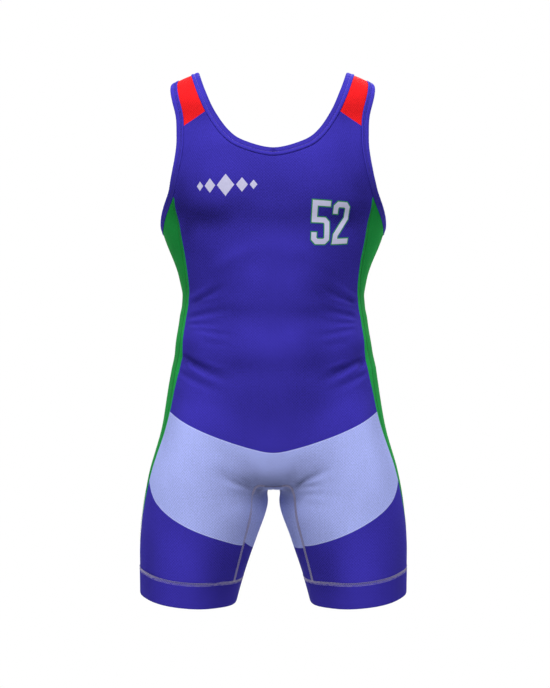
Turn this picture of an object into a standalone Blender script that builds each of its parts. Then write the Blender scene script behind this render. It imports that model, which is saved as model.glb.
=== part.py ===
"""A powerlifting singlet in a man's medium, in the shape that it has when it is worn.

The cloth is a thin wall on one smooth form, a trunk with two legs. Seams and cut edges are curves on
that form. Each panel is a grid stretched between its seams, dropped on to the form and given its
thickness. The origin is midway between the shoulders, level with the top of the straps. The front
faces -Y, the wearer's left is +X, and +Z is up. Everything is in metres.
"""

from collections import namedtuple
from math import pi, radians, tan

import bmesh
import bpy
import numpy as np

CLOTH = 0.0012             # one layer of knitted polyester and elastane, with its print
BINDING = 0.0024           # the same cloth folded over an edge
BAND = 0.0020              # the doubled gripper band round each thigh
SEAM_GAP = 0.0003          # between any two pieces that are sewn together
BINDING_WIDTH = 0.0125
BINDING_RISE = 0.0006      # how far a binding stands above the panel beside it
BAND_RISE = 0.0003
BAND_HEIGHT = 0.0403

# The trunk, as level sections. Front and back are depths on each side of the plane y = 0.
Section = namedtuple("Section", "height half_width front back")
TRUNK = (
    Section(-0.740, 0.176, 0.100, 0.108),
    Section(-0.660, 0.178, 0.104, 0.114),
    Section(-0.600, 0.179, 0.107, 0.117),
    Section(-0.540, 0.175, 0.107, 0.113),
    Section(-0.490, 0.169, 0.105, 0.103),
    Section(-0.440, 0.1600, 0.103, 0.093),
    Section(-0.400, 0.1530, 0.102, 0.089),
    Section(-0.360, 0.1480, 0.103, 0.089),
    Section(-0.310, 0.159, 0.108, 0.096),
    Section(-0.250, 0.1825, 0.114, 0.106),
    Section(-0.180, 0.192, 0.109, 0.109),
    Section(-0.100, 0.199, 0.094, 0.104),
    Section(0.020, 0.202, 0.070, 0.088),
)
ROUNDNESS = 2.4            # exponent of the trunk's sections: 2 is an ellipse, more is squarer
CAP_START = -0.086         # height at which the trunk starts to close over the shoulders
CAP_HEIGHT = 0.100
CROTCH = -0.674            # the underside of the trunk, between the legs
UNDER_BLEND = 0.055        # how softly the trunk turns under at the crotch

# The left leg, as level sections. Centre is its distance from the plane x = 0.
LegSection = namedtuple("LegSection", "height centre half_width front back")
LEG = (
    LegSection(-0.900, 0.144, 0.073, 0.082, 0.083),
    LegSection(-0.860, 0.1390, 0.0780, 0.086, 0.087),
    LegSection(-0.810, 0.1320, 0.0855, 0.093, 0.094),
    LegSection(-0.760, 0.1235, 0.0940, 0.100, 0.102),
    LegSection(-0.700, 0.1115, 0.1000, 0.104, 0.108),
    LegSection(-0.640, 0.1010, 0.0910, 0.098, 0.108),
    LegSection(-0.580, 0.0920, 0.0700, 0.080, 0.090),
    LegSection(-0.500, 0.0850, 0.0450, 0.050, 0.055),
)
LEG_ROUNDNESS = 2.1
LEG_TOP = -0.520           # where the leg ends, hidden in the trunk
LEG_BLEND = 0.055          # how softly the leg grows out of the trunk, less towards the crotch
LEG_BLEND_START = 0.030
LEG_PARTING = 0.006        # rounds the two legs into each other where they meet

# The largest folds of the cloth, the same on both halves: straight troughs on the front or the back.
Fold = namedtuple("Fold", "x_start z_start x_end z_end depth half_width is_back")
FOLDS = (
    Fold(0.150, -0.388, 0.100, -0.362, 0.0020, 0.010, False),
    Fold(0.156, -0.466, 0.078, -0.497, 0.0035, 0.012, False),
    Fold(0.152, -0.405, 0.060, -0.388, 0.0025, 0.012, True),
    Fold(0.160, -0.462, 0.045, -0.440, 0.0030, 0.013, True),
)
FOLD_FADE = 0.030          # how far a fold runs out beyond its ends, and towards the side

# Cut edges and seams, as points near the form on the left half.
Point = namedtuple("Point", "x y z")
NECK = (                   # from the middle of the front, over the shoulder, to the middle of the back
    Point(0.000, -0.101, -0.1335),
    Point(0.045, -0.097, -0.1225),
    Point(0.070, -0.092, -0.1050),
    Point(0.093, -0.082, -0.0720),
    Point(0.108, -0.066, -0.0380),
    Point(0.1215, 0.000, 0.000),
    Point(0.117, 0.045, -0.030),
    Point(0.106, 0.075, -0.070),
    Point(0.078, 0.092, -0.110),
    Point(0.042, 0.098, -0.125),
    Point(0.000, 0.100, -0.129),
)
NECK_TURNS = 0, 3, 5, 7, 10    # the middle, the foot of the strap, the shoulder, the same behind
ARMHOLE = (                # from the shoulder, down the front, under the arm and up the back
    Point(0.1630, 0.000, -0.0195),
    Point(0.1585, -0.060, -0.066),
    Point(0.1535, -0.070, -0.112),
    Point(0.1560, -0.072, -0.146),
    Point(0.1640, -0.068, -0.182),
    Point(0.1705, -0.061, -0.206),
    Point(0.1835, -0.026, -0.244),
    Point(0.1830, 0.012, -0.250),
    Point(0.178, 0.042, -0.237),
    Point(0.168, 0.066, -0.206),
    Point(0.154, 0.082, -0.150),
    Point(0.150, 0.082, -0.100),
    Point(0.157, 0.058, -0.052),
)
ARMHOLE_TURNS = 0, 2, 5, 9, 11, 13    # the shoulder, the strap's foot, the two side seams, and back up
CHEST_FRONT = (Point(0.000, -0.113, -0.226), Point(0.080, -0.108, -0.227))
CHEST_BACK = (Point(0.000, 0.108, -0.226), Point(0.080, 0.104, -0.226))
CENTRE_FRONT = (Point(0, -0.102, -0.370), Point(0, -0.107, -0.500), Point(0, -0.104, -0.610))
CENTRE_BACK = (Point(0, 0.088, -0.370), Point(0, 0.105, -0.500), Point(0, 0.114, -0.610))
SIDE_FRONT = (             # below the armhole, down to the hip
    Point(0.1484, -0.068, -0.276),
    Point(0.1390, -0.045, -0.362),
    Point(0.1500, -0.045, -0.440),
    Point(0.1700, -0.042, -0.550),
    Point(0.2025, -0.030, -0.667),
)
SIDE_BACK = (
    Point(0.157, 0.062, -0.276),
    Point(0.140, 0.046, -0.360),
    Point(0.150, 0.048, -0.440),
    Point(0.172, 0.056, -0.545),
    Point(0.193, 0.062, -0.668),
)
CROTCH_FRONT = (Point(0.000, -0.080, -0.661), Point(0.0290, -0.083, -0.660))
CROTCH_BACK = (Point(0.000, 0.082, -0.662), Point(0.0290, 0.085, -0.661))
INSEAM_FRONT = (Point(0.0320, -0.073, -0.690), Point(0.0425, -0.066, -0.742))
INSEAM_BACK = (Point(0.0320, 0.077, -0.690), Point(0.0425, 0.069, -0.742))
THIGH_FRONT = (Point(0.110, -0.104, -0.672),)    # a row that crosses the thigh at the crotch's level
THIGH_BACK = (Point(0.105, 0.112, -0.675),)

# The seam above the leg band. Turn is the angle round the leg: 0 faces the other leg, 90 the front.
BAND_LEVEL = -0.8120
BAND_LEAN = radians(6.0)   # the outer side is higher
BAND_PITCH = radians(2.5)  # the back is higher
INSEAM_FRONT_TURN = 33.5
SIDE_FRONT_TURN = 187.0
SIDE_BACK_TURN = 219.0
INSEAM_BACK_TURN = 326.5

# How many facets each stretch of cloth has.
ACROSS_HALF = 10           # from the middle to the side seam
ACROSS_STRAP = 4           # the part of those that starts on the strap
DOWN_STRAP = 8
DOWN_YOKE = 6              # from the foot of the strap to the side seam
ACROSS_CROTCH = 2          # the part of those that ends on the crotch seam
ACROSS_LEG = ACROSS_HALF - ACROSS_CROTCH
ACROSS_SIDE = 7
ACROSS_INNER = 6
DOWN_TRUNK = 20            # closer together at the waist, where the cloth folds
WAIST_CROWDING = 0.4
DOWN_LEG = 6
DOWN_BAND = 2
SPAN_STEPS = 12            # steps between two given points of a curve, before it is spaced out

ROYAL = (0.040, 0.030, 0.330, 1.0)
GREEN = (0.015, 0.210, 0.050, 1.0)
PALE_BLUE = (0.350, 0.400, 0.800, 1.0)
KNIT_ROUGHNESS = 0.62


def read(rows, name, at):
    """One column of a table at any height, on a smooth curve through the rows."""
    level = np.array([row.height for row in rows])
    value = np.array([getattr(row, name) for row in rows])
    slope = np.gradient(value, level)
    at = np.clip(at, level[0], level[-1])
    low = np.clip(np.searchsorted(level, at) - 1, 0, len(level) - 2)
    step = level[low + 1] - level[low]
    t = (at - level[low]) / step
    bend = step * t * (1 - t) * (slope[low] * (1 - t) - slope[low + 1] * t)
    return value[low] * (1 + 2 * t) * (1 - t) ** 2 + value[low + 1] * t * t * (3 - 2 * t) + bend


def soft_min(a, b, blend):
    """The smaller of two distances, rounded over where they are nearly equal."""
    near = np.maximum(blend - np.abs(a - b), 0) / blend
    return np.minimum(a, b) - near * near * blend / 4


def trough(fold, x, y, z):
    """How deep one fold presses into the form: a bell across it, fading past its ends."""
    run = np.array((fold.x_end - fold.x_start, fold.z_end - fold.z_start))
    length = np.hypot(*run)
    along = ((x - fold.x_start) * run[0] + (z - fold.z_start) * run[1]) / length
    across = ((z - fold.z_start) * run[0] - (x - fold.x_start) * run[1]) / length
    beyond = np.maximum(np.maximum(-along, along - length), 0)
    facing = np.clip((y if fold.is_back else -y) / FOLD_FADE, 0, 1)
    return fold.depth * facing * np.exp(-(across / fold.half_width) ** 2 - (beyond / FOLD_FADE) ** 2)


def form(points):
    """Roughly the distance outside the body: the trunk, closed over the shoulders and under the
    crotch, blended with the leg on either side."""
    x = np.sqrt(points[..., 0] ** 2 + LEG_PARTING ** 2)
    y, z = points[..., 1], points[..., 2]
    side = np.where(y < 0, read(TRUNK, "front", z), read(TRUNK, "back", z))
    cap = np.maximum(z - CAP_START, 0) / CAP_HEIGHT
    sum_of_powers = ((x / read(TRUNK, "half_width", z)) ** ROUNDNESS
                     + (np.abs(y) / side) ** ROUNDNESS + cap ** ROUNDNESS)
    trunk = (sum_of_powers ** (1 / ROUNDNESS) - 1) * side
    trunk = -soft_min(-trunk, z - CROTCH, UNDER_BLEND)
    side = np.where(y < 0, read(LEG, "front", z), read(LEG, "back", z))
    across = np.abs(x - read(LEG, "centre", z)) / read(LEG, "half_width", z)
    leg = ((across ** LEG_ROUNDNESS + (np.abs(y) / side) ** LEG_ROUNDNESS) ** (1 / LEG_ROUNDNESS) - 1)
    leg = np.maximum(leg * side, z - LEG_TOP)
    body = soft_min(trunk, leg, LEG_BLEND * x / (x + LEG_BLEND_START))
    return body + sum(trough(fold, x, y, z) for fold in FOLDS)


def slope_of_form(points):
    """The form's gradient, from small steps along each axis."""
    step = 1e-5
    parts = [form(points + step * axis) - form(points - step * axis) for axis in np.eye(3)]
    return np.stack(parts, axis=-1) / (2 * step)


def onto_form(points):
    """Each point moved along the gradient until it lies on the form."""
    points = np.array(points, dtype=float)
    for _ in range(12):
        slope = slope_of_form(points)
        steepness = (slope ** 2).sum(-1, keepdims=True)
        points -= form(points)[..., None] * slope / np.maximum(steepness, 1e-6)
    return points


def outward(points):
    """Unit normals of the form."""
    slope = slope_of_form(points)
    return slope / np.linalg.norm(slope, axis=-1, keepdims=True)


def curve(points, closed=False):
    """A smooth curve on the form through the given points, SPAN_STEPS steps from one to the next."""
    points = onto_form(points)
    if closed:
        ends = points[[-1]], points[[0, 1]]
    else:
        ends = 2 * points[[0]] - points[[1]], 2 * points[[-1]] - points[[-2]]
    knots = np.concatenate((ends[0], points, ends[1]))
    t = np.linspace(0, 1, SPAN_STEPS, endpoint=False)[:, None]
    spans = []
    for a, b, c, d in zip(knots, knots[1:], knots[2:], knots[3:]):
        spans.append(b + 0.5 * t * (c - a + t * (2 * a - 5 * b + 4 * c - d + t * (3 * (b - c) + d - a))))
    spans.append(knots[-2:-1])
    return onto_form(np.concatenate(spans))


def shares(line):
    """How far along a line each of its points is, from 0 to 1."""
    length = np.concatenate(([0], np.cumsum(np.linalg.norm(np.diff(line, axis=0), axis=1))))
    return length / length[-1]


def spaced(line, count, crowding=0):
    """The same curve in count steps, equal, or shorter in its middle by the given crowding."""
    at = np.linspace(0, 1, count + 1)
    at += crowding * np.sin(2 * pi * at) / (2 * pi)
    return onto_form(np.stack([np.interp(at, shares(line), line[:, axis]) for axis in range(3)], axis=1))


def beside(line, width, closed=True):
    """A curve on the form that keeps a width to the right of the line, seen from outside."""
    if closed:
        along = np.roll(line, -1, axis=0) - np.roll(line, 1, axis=0)
    else:
        along = np.gradient(line, axis=0)
    across = np.cross(along, outward(line))
    return onto_form(line + width * across / np.linalg.norm(across, axis=1, keepdims=True))


def patch(top, bottom, left, right):
    """A grid between four edges, its inside blended from them and dropped on to the form."""
    u = 0.5 * (shares(top) + shares(bottom))[None, :, None]
    v = 0.5 * (shares(left) + shares(right))[:, None, None]
    corners = (1 - v) * ((1 - u) * top[0] + u * top[-1]) + v * ((1 - u) * bottom[0] + u * bottom[-1])
    grid = (1 - v) * top + v * bottom + (1 - u) * left[:, None] + u * right[:, None] - corners
    grid = onto_form(grid)
    grid[0], grid[-1], grid[:, 0], grid[:, -1] = top, bottom, left, right
    return grid


def leg_ring(level, start, end, count):
    """Part of a sloping ring round the left leg, from one turn to another."""
    turn = np.radians(np.linspace(start, end, count + 1))
    centre = read(LEG, "centre", level)
    x = centre - read(LEG, "half_width", level) * np.cos(turn)
    y = -read(LEG, "front", level) * np.sin(turn)
    z = level + tan(BAND_LEAN) * (x - centre) + tan(BAND_PITCH) * y
    return onto_form(np.stack((x, y, z), axis=1))


def mirrored(grid):
    """The same grid on the other side of the plane x = 0."""
    return grid * (-1, 1, 1)


def finish(name, colour):
    """A plain knit for one piece."""
    material = bpy.data.materials.new(name)
    material.use_nodes = True
    shader = material.node_tree.nodes["Principled BSDF"]
    shader.inputs["Base Color"].default_value = colour
    shader.inputs["Roughness"].default_value = KNIT_ROUGHNESS
    shader.inputs["Metallic"].default_value = 0.0
    return material


def draw_edges_in(sheet, distance):
    """Move the sheet's boundary inwards, so that half a seam gap is left all round it."""
    moves = {}
    for edge in sheet.edges:
        if not edge.is_boundary:
            continue
        face = edge.link_faces[0]
        along = edge.verts[1].co - edge.verts[0].co
        inwards = face.normal.cross(along).normalized()
        if inwards.dot(face.calc_center_median() - edge.verts[0].co) < 0:
            inwards.negate()
        for vert in edge.verts:
            moves.setdefault(vert, []).append(inwards)
    for vert, inwards in moves.items():
        if len(inwards) == 2:
            vert.co += distance * (inwards[0] + inwards[1]) / (1 + inwards[0].dot(inwards[1]))


def stretches(line, turns, steps):
    """A curve cut at some of the points it was drawn through, each stretch in its own steps."""
    cuts = SPAN_STEPS * np.array(turns)
    return [spaced(line[a:b + 1], count) for a, b, count in zip(cuts, cuts[1:], steps)]


def sew(name, grids, wall, rise, colour):
    """One piece of cloth: its grids joined to a sheet, then extruded into a closed wall."""
    sheet = bmesh.new()
    for grid in grids:
        rows, columns = grid.shape[:2]
        verts = [sheet.verts.new(point) for point in grid.reshape(-1, 3)]
        for row in range(rows - 1):
            for column in range(columns - 1):
                first = row * columns + column
                sheet.faces.new([verts[first], verts[first + 1],
                                 verts[first + columns + 1], verts[first + columns]])
    bmesh.ops.remove_doubles(sheet, verts=sheet.verts, dist=1e-5)
    bmesh.ops.recalc_face_normals(sheet, faces=sheet.faces)
    draw_edges_in(sheet, SEAM_GAP / 2)
    outer = list(sheet.verts)
    extruded = bmesh.ops.extrude_face_region(sheet, geom=sheet.faces[:])
    inner = [item for item in extruded["geom"] if isinstance(item, bmesh.types.BMVert)]
    for verts, depth in ((outer, -rise), (inner, wall - rise)):
        places = np.array([vert.co for vert in verts])
        for vert, place in zip(verts, places - depth * outward(places)):
            vert.co = place
    bmesh.ops.recalc_face_normals(sheet, faces=sheet.faces)
    mesh = bpy.data.meshes.new(name)
    sheet.to_mesh(mesh)
    sheet.free()
    mesh.materials.append(finish(name, colour))
    mesh.shade_smooth()
    mesh.set_sharp_from_angle(angle=radians(50))
    piece = bpy.data.objects.new(name, mesh)
    bpy.context.scene.collection.objects.link(piece)
    return piece


def body_panel(neck, armhole, shoulder, chest, centre, side, crotch, inseam, thigh, turns):
    """The left half of the front or the back: the strap, the yoke, the trunk and the leg. It returns
    those grids and the edges that the pieces beside it share."""
    (neck_yoke, neck_strap), (arm_strap, arm_yoke), (side_upper, side_lower) = neck, armhole, side
    strap_foot = spaced(curve((neck_strap[0], arm_strap[-1])), ACROSS_STRAP)
    strap = patch(shoulder, strap_foot, neck_strap[::-1], arm_strap)

    chest_row = spaced(curve((*chest, side_upper[0])), ACROSS_HALF)
    centre_top = spaced(curve((neck_yoke[0], chest_row[0])), DOWN_YOKE)
    yoke = patch(np.concatenate((neck_yoke, strap_foot[1:])), chest_row, centre_top, arm_yoke)

    crotch_row = spaced(curve(crotch), ACROSS_CROTCH)
    thigh_row = spaced(curve((crotch_row[-1], *thigh, side_lower[0])), ACROSS_LEG)
    centre_low = spaced(curve((chest_row[0], *centre, crotch_row[0])), DOWN_TRUNK, WAIST_CROWDING)
    trunk = patch(chest_row, np.concatenate((crotch_row, thigh_row[1:])), centre_low, side_upper)

    band_row = leg_ring(BAND_LEVEL, *turns, ACROSS_LEG)
    inseam_row = spaced(curve((thigh_row[0], *inseam, band_row[0])), DOWN_LEG)
    leg = patch(thigh_row, band_row, inseam_row, side_lower)
    return (strap, yoke, trunk, leg), np.concatenate((crotch_row, inseam_row[1:])), band_row


def main():
    for item in list(bpy.data.objects):
        bpy.data.objects.remove(item, do_unlink=True)

    # The neckline and the armhole, and the line where each binding meets the panels.
    half_neck = np.array(NECK)
    neck_cut = curve(np.concatenate((half_neck, mirrored(half_neck[-2:0:-1]))), closed=True)[:-1]
    neck_join = beside(neck_cut, BINDING_WIDTH)
    across_neck = ACROSS_HALF - ACROSS_STRAP
    neck_steps = across_neck, DOWN_STRAP, DOWN_STRAP, across_neck
    neck_cut, neck_join = [stretches(line, NECK_TURNS, neck_steps) for line in (neck_cut, neck_join)]

    arm_cut = curve(ARMHOLE, closed=True)
    arm_join = beside(arm_cut[:-1], BINDING_WIDTH)
    arm_join = np.concatenate((arm_join, arm_join[:1]))
    arm_steps = DOWN_STRAP, DOWN_YOKE, ACROSS_SIDE, DOWN_YOKE, DOWN_STRAP
    arm_cut, arm_join = [stretches(line, ARMHOLE_TURNS, arm_steps) for line in (arm_cut, arm_join)]
    arm_under = arm_join[2]
    shoulder = spaced(curve((neck_join[2][0], arm_join[0][0])), ACROSS_STRAP)

    # The side seams, and the ring where the leg band joins.
    side_edges = []
    for top, points, turn in ((arm_under[0], SIDE_FRONT, SIDE_FRONT_TURN),
                              (arm_under[-1], SIDE_BACK, SIDE_BACK_TURN)):
        foot = leg_ring(BAND_LEVEL, turn, turn, 1)[0]
        seam = curve((top, *points, foot))
        hip_at = len(points) * SPAN_STEPS
        side_edges.append((spaced(seam[:hip_at + 1], DOWN_TRUNK, WAIST_CROWDING),
                           spaced(seam[hip_at:], DOWN_LEG)))

    front, inseam_front, band_front = body_panel(
        neck_join[:2], arm_join[:2], shoulder, CHEST_FRONT, CENTRE_FRONT, side_edges[0],
        CROTCH_FRONT, INSEAM_FRONT, THIGH_FRONT, (INSEAM_FRONT_TURN, SIDE_FRONT_TURN))
    neck_behind, arm_behind = [[line[::-1] for line in lines[:-3:-1]] for lines in (neck_join, arm_join)]
    back, inseam_back, band_back = body_panel(
        neck_behind, arm_behind, shoulder, CHEST_BACK, CENTRE_BACK, side_edges[1],
        CROTCH_BACK, INSEAM_BACK, THIGH_BACK, (INSEAM_BACK_TURN, SIDE_BACK_TURN))
    for name, grids in (("front", front), ("back", back)):
        sew(name, [*grids, *map(mirrored, grids)], CLOTH, 0, ROYAL)

    side_seams = [np.concatenate((upper, lower[1:])) for upper, lower in side_edges]
    band_side = leg_ring(BAND_LEVEL, SIDE_FRONT_TURN, SIDE_BACK_TURN, ACROSS_SIDE)
    side_panel = patch(arm_under, band_side, *side_seams)

    under = spaced(curve((inseam_front[0], (0, 0, CROTCH), inseam_back[0])), ACROSS_INNER)
    band_inner = leg_ring(BAND_LEVEL, INSEAM_FRONT_TURN, INSEAM_BACK_TURN - 360, ACROSS_INNER)
    inner_leg = patch(under, band_inner, inseam_front, inseam_back)

    band_top = np.concatenate((band_front, band_side[1:], band_back[-2::-1], band_inner[-2::-1]))
    band_rows = [band_top]
    for row in range(1, DOWN_BAND + 1):
        level = BAND_LEVEL - BAND_HEIGHT * row / DOWN_BAND
        band_rows.append(np.concatenate((
            leg_ring(level, INSEAM_FRONT_TURN, SIDE_FRONT_TURN, ACROSS_LEG),
            leg_ring(level, SIDE_FRONT_TURN, SIDE_BACK_TURN, ACROSS_SIDE)[1:],
            leg_ring(level, SIDE_BACK_TURN, INSEAM_BACK_TURN, ACROSS_LEG)[1:],
            leg_ring(level, INSEAM_BACK_TURN - 360, INSEAM_FRONT_TURN, ACROSS_INNER)[1:])))
    leg_band = np.stack(band_rows)

    arm_binding = np.stack([np.concatenate([line[:-1] for line in lines] + [lines[0][:1]])
                            for lines in (arm_cut, arm_join)])
    for side, turned in (("left", lambda grid: grid), ("right", mirrored)):
        sew(f"side_panel_{side}", [turned(side_panel)], CLOTH, 0, GREEN)
        sew(f"inner_leg_{side}", [turned(inner_leg)], CLOTH, 0, PALE_BLUE)
        sew(f"leg_band_{side}", [turned(leg_band)], BAND, BAND_RISE, ROYAL)
        sew(f"armhole_binding_{side}", [turned(arm_binding)], BINDING, BINDING_RISE, ROYAL)

    neck_binding = [np.stack(lines) for lines in zip(neck_cut, neck_join)]
    sew("neck_binding", [*neck_binding, *map(mirrored, neck_binding)], BINDING, BINDING_RISE, ROYAL)


main()
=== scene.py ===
"""The looks of a powerlifting singlet, in the shape that it has when it is worn, with nobody in it.

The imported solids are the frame. Each panel is drawn again on the form that its solid has, finely enough
for its folds, its print and its seams, and stands for that solid. Everything is in metres: +Z is up, the
front faces -Y, and the wearer's left is +X.
"""

from collections import namedtuple
from math import pi, radians, tan

import bpy
import numpy as np
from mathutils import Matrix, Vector


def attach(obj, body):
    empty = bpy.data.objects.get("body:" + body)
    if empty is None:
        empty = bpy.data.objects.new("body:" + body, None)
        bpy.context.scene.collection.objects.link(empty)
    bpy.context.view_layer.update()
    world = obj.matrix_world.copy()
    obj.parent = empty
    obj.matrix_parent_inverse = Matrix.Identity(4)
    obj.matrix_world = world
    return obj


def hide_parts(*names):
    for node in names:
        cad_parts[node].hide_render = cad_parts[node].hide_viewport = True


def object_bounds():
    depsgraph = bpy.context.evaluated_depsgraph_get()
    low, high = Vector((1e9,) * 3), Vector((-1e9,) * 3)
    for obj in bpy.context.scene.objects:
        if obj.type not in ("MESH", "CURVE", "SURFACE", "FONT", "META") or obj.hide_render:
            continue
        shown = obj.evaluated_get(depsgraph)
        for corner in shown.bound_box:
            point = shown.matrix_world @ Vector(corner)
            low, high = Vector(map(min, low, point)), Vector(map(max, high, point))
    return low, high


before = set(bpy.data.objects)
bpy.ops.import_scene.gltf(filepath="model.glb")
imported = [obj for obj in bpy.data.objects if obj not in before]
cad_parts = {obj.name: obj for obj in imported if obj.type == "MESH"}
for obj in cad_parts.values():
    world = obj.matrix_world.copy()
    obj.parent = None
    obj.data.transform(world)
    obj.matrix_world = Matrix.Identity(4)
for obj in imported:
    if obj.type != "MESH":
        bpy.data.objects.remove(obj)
solid_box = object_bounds()


# ---- Studio ----------------------------------------------------------------------------------------
# A white surround and a pale floor far below the hems. One broad soft lamp hangs high in front, a weak one
# stands low in front, and three behind open up the sides. The camera stands level with the waist.

VIEW_DISTANCE = 2.2
VIEW_HEIGHT = 1.125            # what the frame takes in at the plane y = 0
VIEW_BELOW_MIDDLE = 0.0105
VIEW_ASIDE = 0.0027
SENSOR = 36.0                  # the camera's, in its own millimetres
AIM_ABOVE_MIDDLE = 0.05        # what the lamps face
FLOOR_DROP = 0.60              # from the hems down to the floor
FLOOR_RADIUS = 3.0
WHITER_FROM = 0.35             # how far out the floor begins to turn white
WHITE_FROM = 1.20              # and where it is
LEAST_GLOW = 0.55              # the share of white in it before that
AMBIENT = 0.07

middle = (np.array(solid_box[0]) + np.array(solid_box[1])) / 2
scene = bpy.context.scene
scene.view_settings.view_transform = "Standard"


class Shade:
    """One socket of a node tree. Python's arithmetic on it adds Math nodes."""

    def __init__(self, tree, socket=None):
        self.tree = tree
        self.socket = socket

    def node(self, kind, settings, sockets, output=0):
        """Add a node: its settings first, then a value or a link for each socket that is given."""
        made = self.tree.nodes.new(kind)
        for name, value in settings.items():
            setattr(made, name, value)
        for name, value in sockets.items():
            if isinstance(value, Shade):
                self.tree.links.new(value.socket, made.inputs[name])
            else:
                made.inputs[name].default_value = value
        return Shade(self.tree, made.outputs[output] if made.outputs else None)

    def maths(self, operation, *values):
        """A Math node on the values."""
        return self.node("ShaderNodeMath", {"operation": operation}, dict(enumerate(values)))

    def __add__(self, other):
        return self.maths("ADD", self, other)

    def __sub__(self, other):
        return self.maths("SUBTRACT", self, other)

    def __rsub__(self, other):
        return self.maths("SUBTRACT", other, self)

    def __mul__(self, other):
        return self.maths("MULTIPLY", self, other)

    def __truediv__(self, other):
        return self.maths("DIVIDE", self, other)

    __radd__ = __add__
    __rmul__ = __mul__

    def limited(self):
        """The same value kept between 0 and 1."""
        return self.node("ShaderNodeClamp", {}, {"Value": self})


def cells(index):
    """The quads between a grid's points, from a grid of their numbers."""
    corners = index[:-1, :-1], index[:-1, 1:], index[1:, 1:], index[1:, :-1]
    return np.stack(corners, axis=-1).reshape(-1, 4)


def lamp(name, place, aim, size, power):
    """A square soft lamp that faces a point."""
    data = bpy.data.lights.new(name, "AREA")
    data.size = size
    data.energy = power
    made = bpy.data.objects.new(name, data)
    made.location = place
    made.rotation_euler = (Vector(aim) - Vector(place)).to_track_quat("-Z", "Y").to_euler()
    scene.collection.objects.link(made)


camera = bpy.data.objects.new("camera", bpy.data.cameras.new("camera"))
camera.data.sensor_fit = "VERTICAL"
camera.data.sensor_height = SENSOR
camera.data.lens = SENSOR * VIEW_DISTANCE / VIEW_HEIGHT
camera.location = (VIEW_ASIDE, -VIEW_DISTANCE, middle[2] - VIEW_BELOW_MIDDLE)
camera.rotation_euler = (pi / 2, 0, 0)
scene.collection.objects.link(camera)
scene.camera = camera

chest_aim = (0.0, 0.0, middle[2] + AIM_ABOVE_MIDDLE)
lamp("key lamp", (-0.75, -2.90, 4.80), chest_aim, 2.0, 398.0)
lamp("fill lamp", (0.10, -3.00, -0.80), chest_aim, 1.5, 15.0)
lamp("left lamp", (-2.5, 1.3, 1.1), chest_aim, 1.6, 36.0)
lamp("right lamp", (2.5, 1.3, 1.1), chest_aim, 1.6, 62.0)
lamp("back lamp", (0.4, 2.6, 2.6), chest_aim, 1.6, 95.0)

scene.world = bpy.data.worlds.new("surround")
scene.world.use_nodes = True
scene.world.node_tree.nodes.clear()
air = Shade(scene.world.node_tree)
seen = [air.node("ShaderNodeLightPath", {}, {}, output) for output in
        ("Is Camera Ray", "Is Glossy Ray", "Is Transmission Ray")]
seen = (seen[0] + seen[1] + seen[2]).limited()
dim = air.node("ShaderNodeBackground", {}, {"Color": (1, 1, 1, 1), "Strength": AMBIENT})
white = air.node("ShaderNodeBackground", {}, {"Color": (1, 1, 1, 1), "Strength": 1.0})
surround = air.node("ShaderNodeMixShader", {}, {0: seen, 1: dim, 2: white})
air.node("ShaderNodeOutputWorld", {}, {"Surface": surround})

# The floor is a disc of rings about the point under the singlet. It keeps the shadow near its middle and
# is as white as the surround from 1.2 m out.
ring, spoke = np.meshgrid(np.linspace(0.02, FLOOR_RADIUS, 24), np.linspace(0, 2 * pi, 64, endpoint=False))
floor_points = np.stack((ring * np.cos(spoke), ring * np.sin(spoke),
                         np.full_like(ring, solid_box[0][2] - FLOOR_DROP)), axis=-1).reshape(-1, 3)
at = np.arange(ring.size).reshape(ring.shape)
floor_faces = cells(np.concatenate((at, at[:1]))).tolist() + [at[:, 0].tolist()]
floor_mesh = bpy.data.meshes.new("floor")
floor_mesh.from_pydata(floor_points, [], floor_faces)
floor = bpy.data.objects.new("floor", floor_mesh)
scene.collection.objects.link(floor)

floor_finish = bpy.data.materials.new("pale floor")
floor_finish.use_nodes = True
floor_finish.node_tree.nodes.clear()
ground = Shade(floor_finish.node_tree)
matt = ground.node("ShaderNodeBsdfPrincipled", {}, {"Base Color": (0.60, 0.60, 0.60, 1), "Roughness": 0.9})
bright = ground.node("ShaderNodeEmission", {}, {"Color": (1, 1, 1, 1), "Strength": 1.0})
place = ground.node("ShaderNodeTexCoord", {}, {}, "Object")
level = ground.node("ShaderNodeVectorMath", {"operation": "MULTIPLY"}, {0: place, 1: (1, 1, 0)})
far = ground.node("ShaderNodeVectorMath", {"operation": "LENGTH"}, {0: level}, "Value")
far = ((far - WHITER_FROM) / (WHITE_FROM - WHITER_FROM)).limited() * (1 - LEAST_GLOW) + LEAST_GLOW
far = far * ground.node("ShaderNodeLightPath", {}, {}, "Is Camera Ray")
floor_surface = ground.node("ShaderNodeMixShader", {}, {0: far, 1: matt, 2: bright})
ground.node("ShaderNodeOutputMaterial", {}, {"Surface": floor_surface})
floor_mesh.materials.append(floor_finish)


# ---- Front panel -----------------------------------------------------------------------------------
# One piece of royal blue warp knit, polyester with elastane, cut from the shoulders down to the leg
# bands. The red on the straps, the pale blue field over hips and thighs and the bright green edge are
# dyed into it. Stretched over the body it creases at the waist, under the chest and at the groin.

CLOTH = 0.0012
SEAM_VALLEY = 0.0006           # how far a panel dips where it is sewn to the next one
SEAM_SHADE = 2.0               # how much painted shade darkens it there, as millimetres of depth
BINDING_WIDTH = 0.0125
STRAP_NEARER = 0.0020          # how much nearer to the neck the left strap lies
NEARER_ACROSS = 0.060, 0.110   # from where it does so, and where it does so in full: outwards
NEARER_UP = -0.205, -0.170     # and upwards
SHARP_ANGLE = radians(55)

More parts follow.
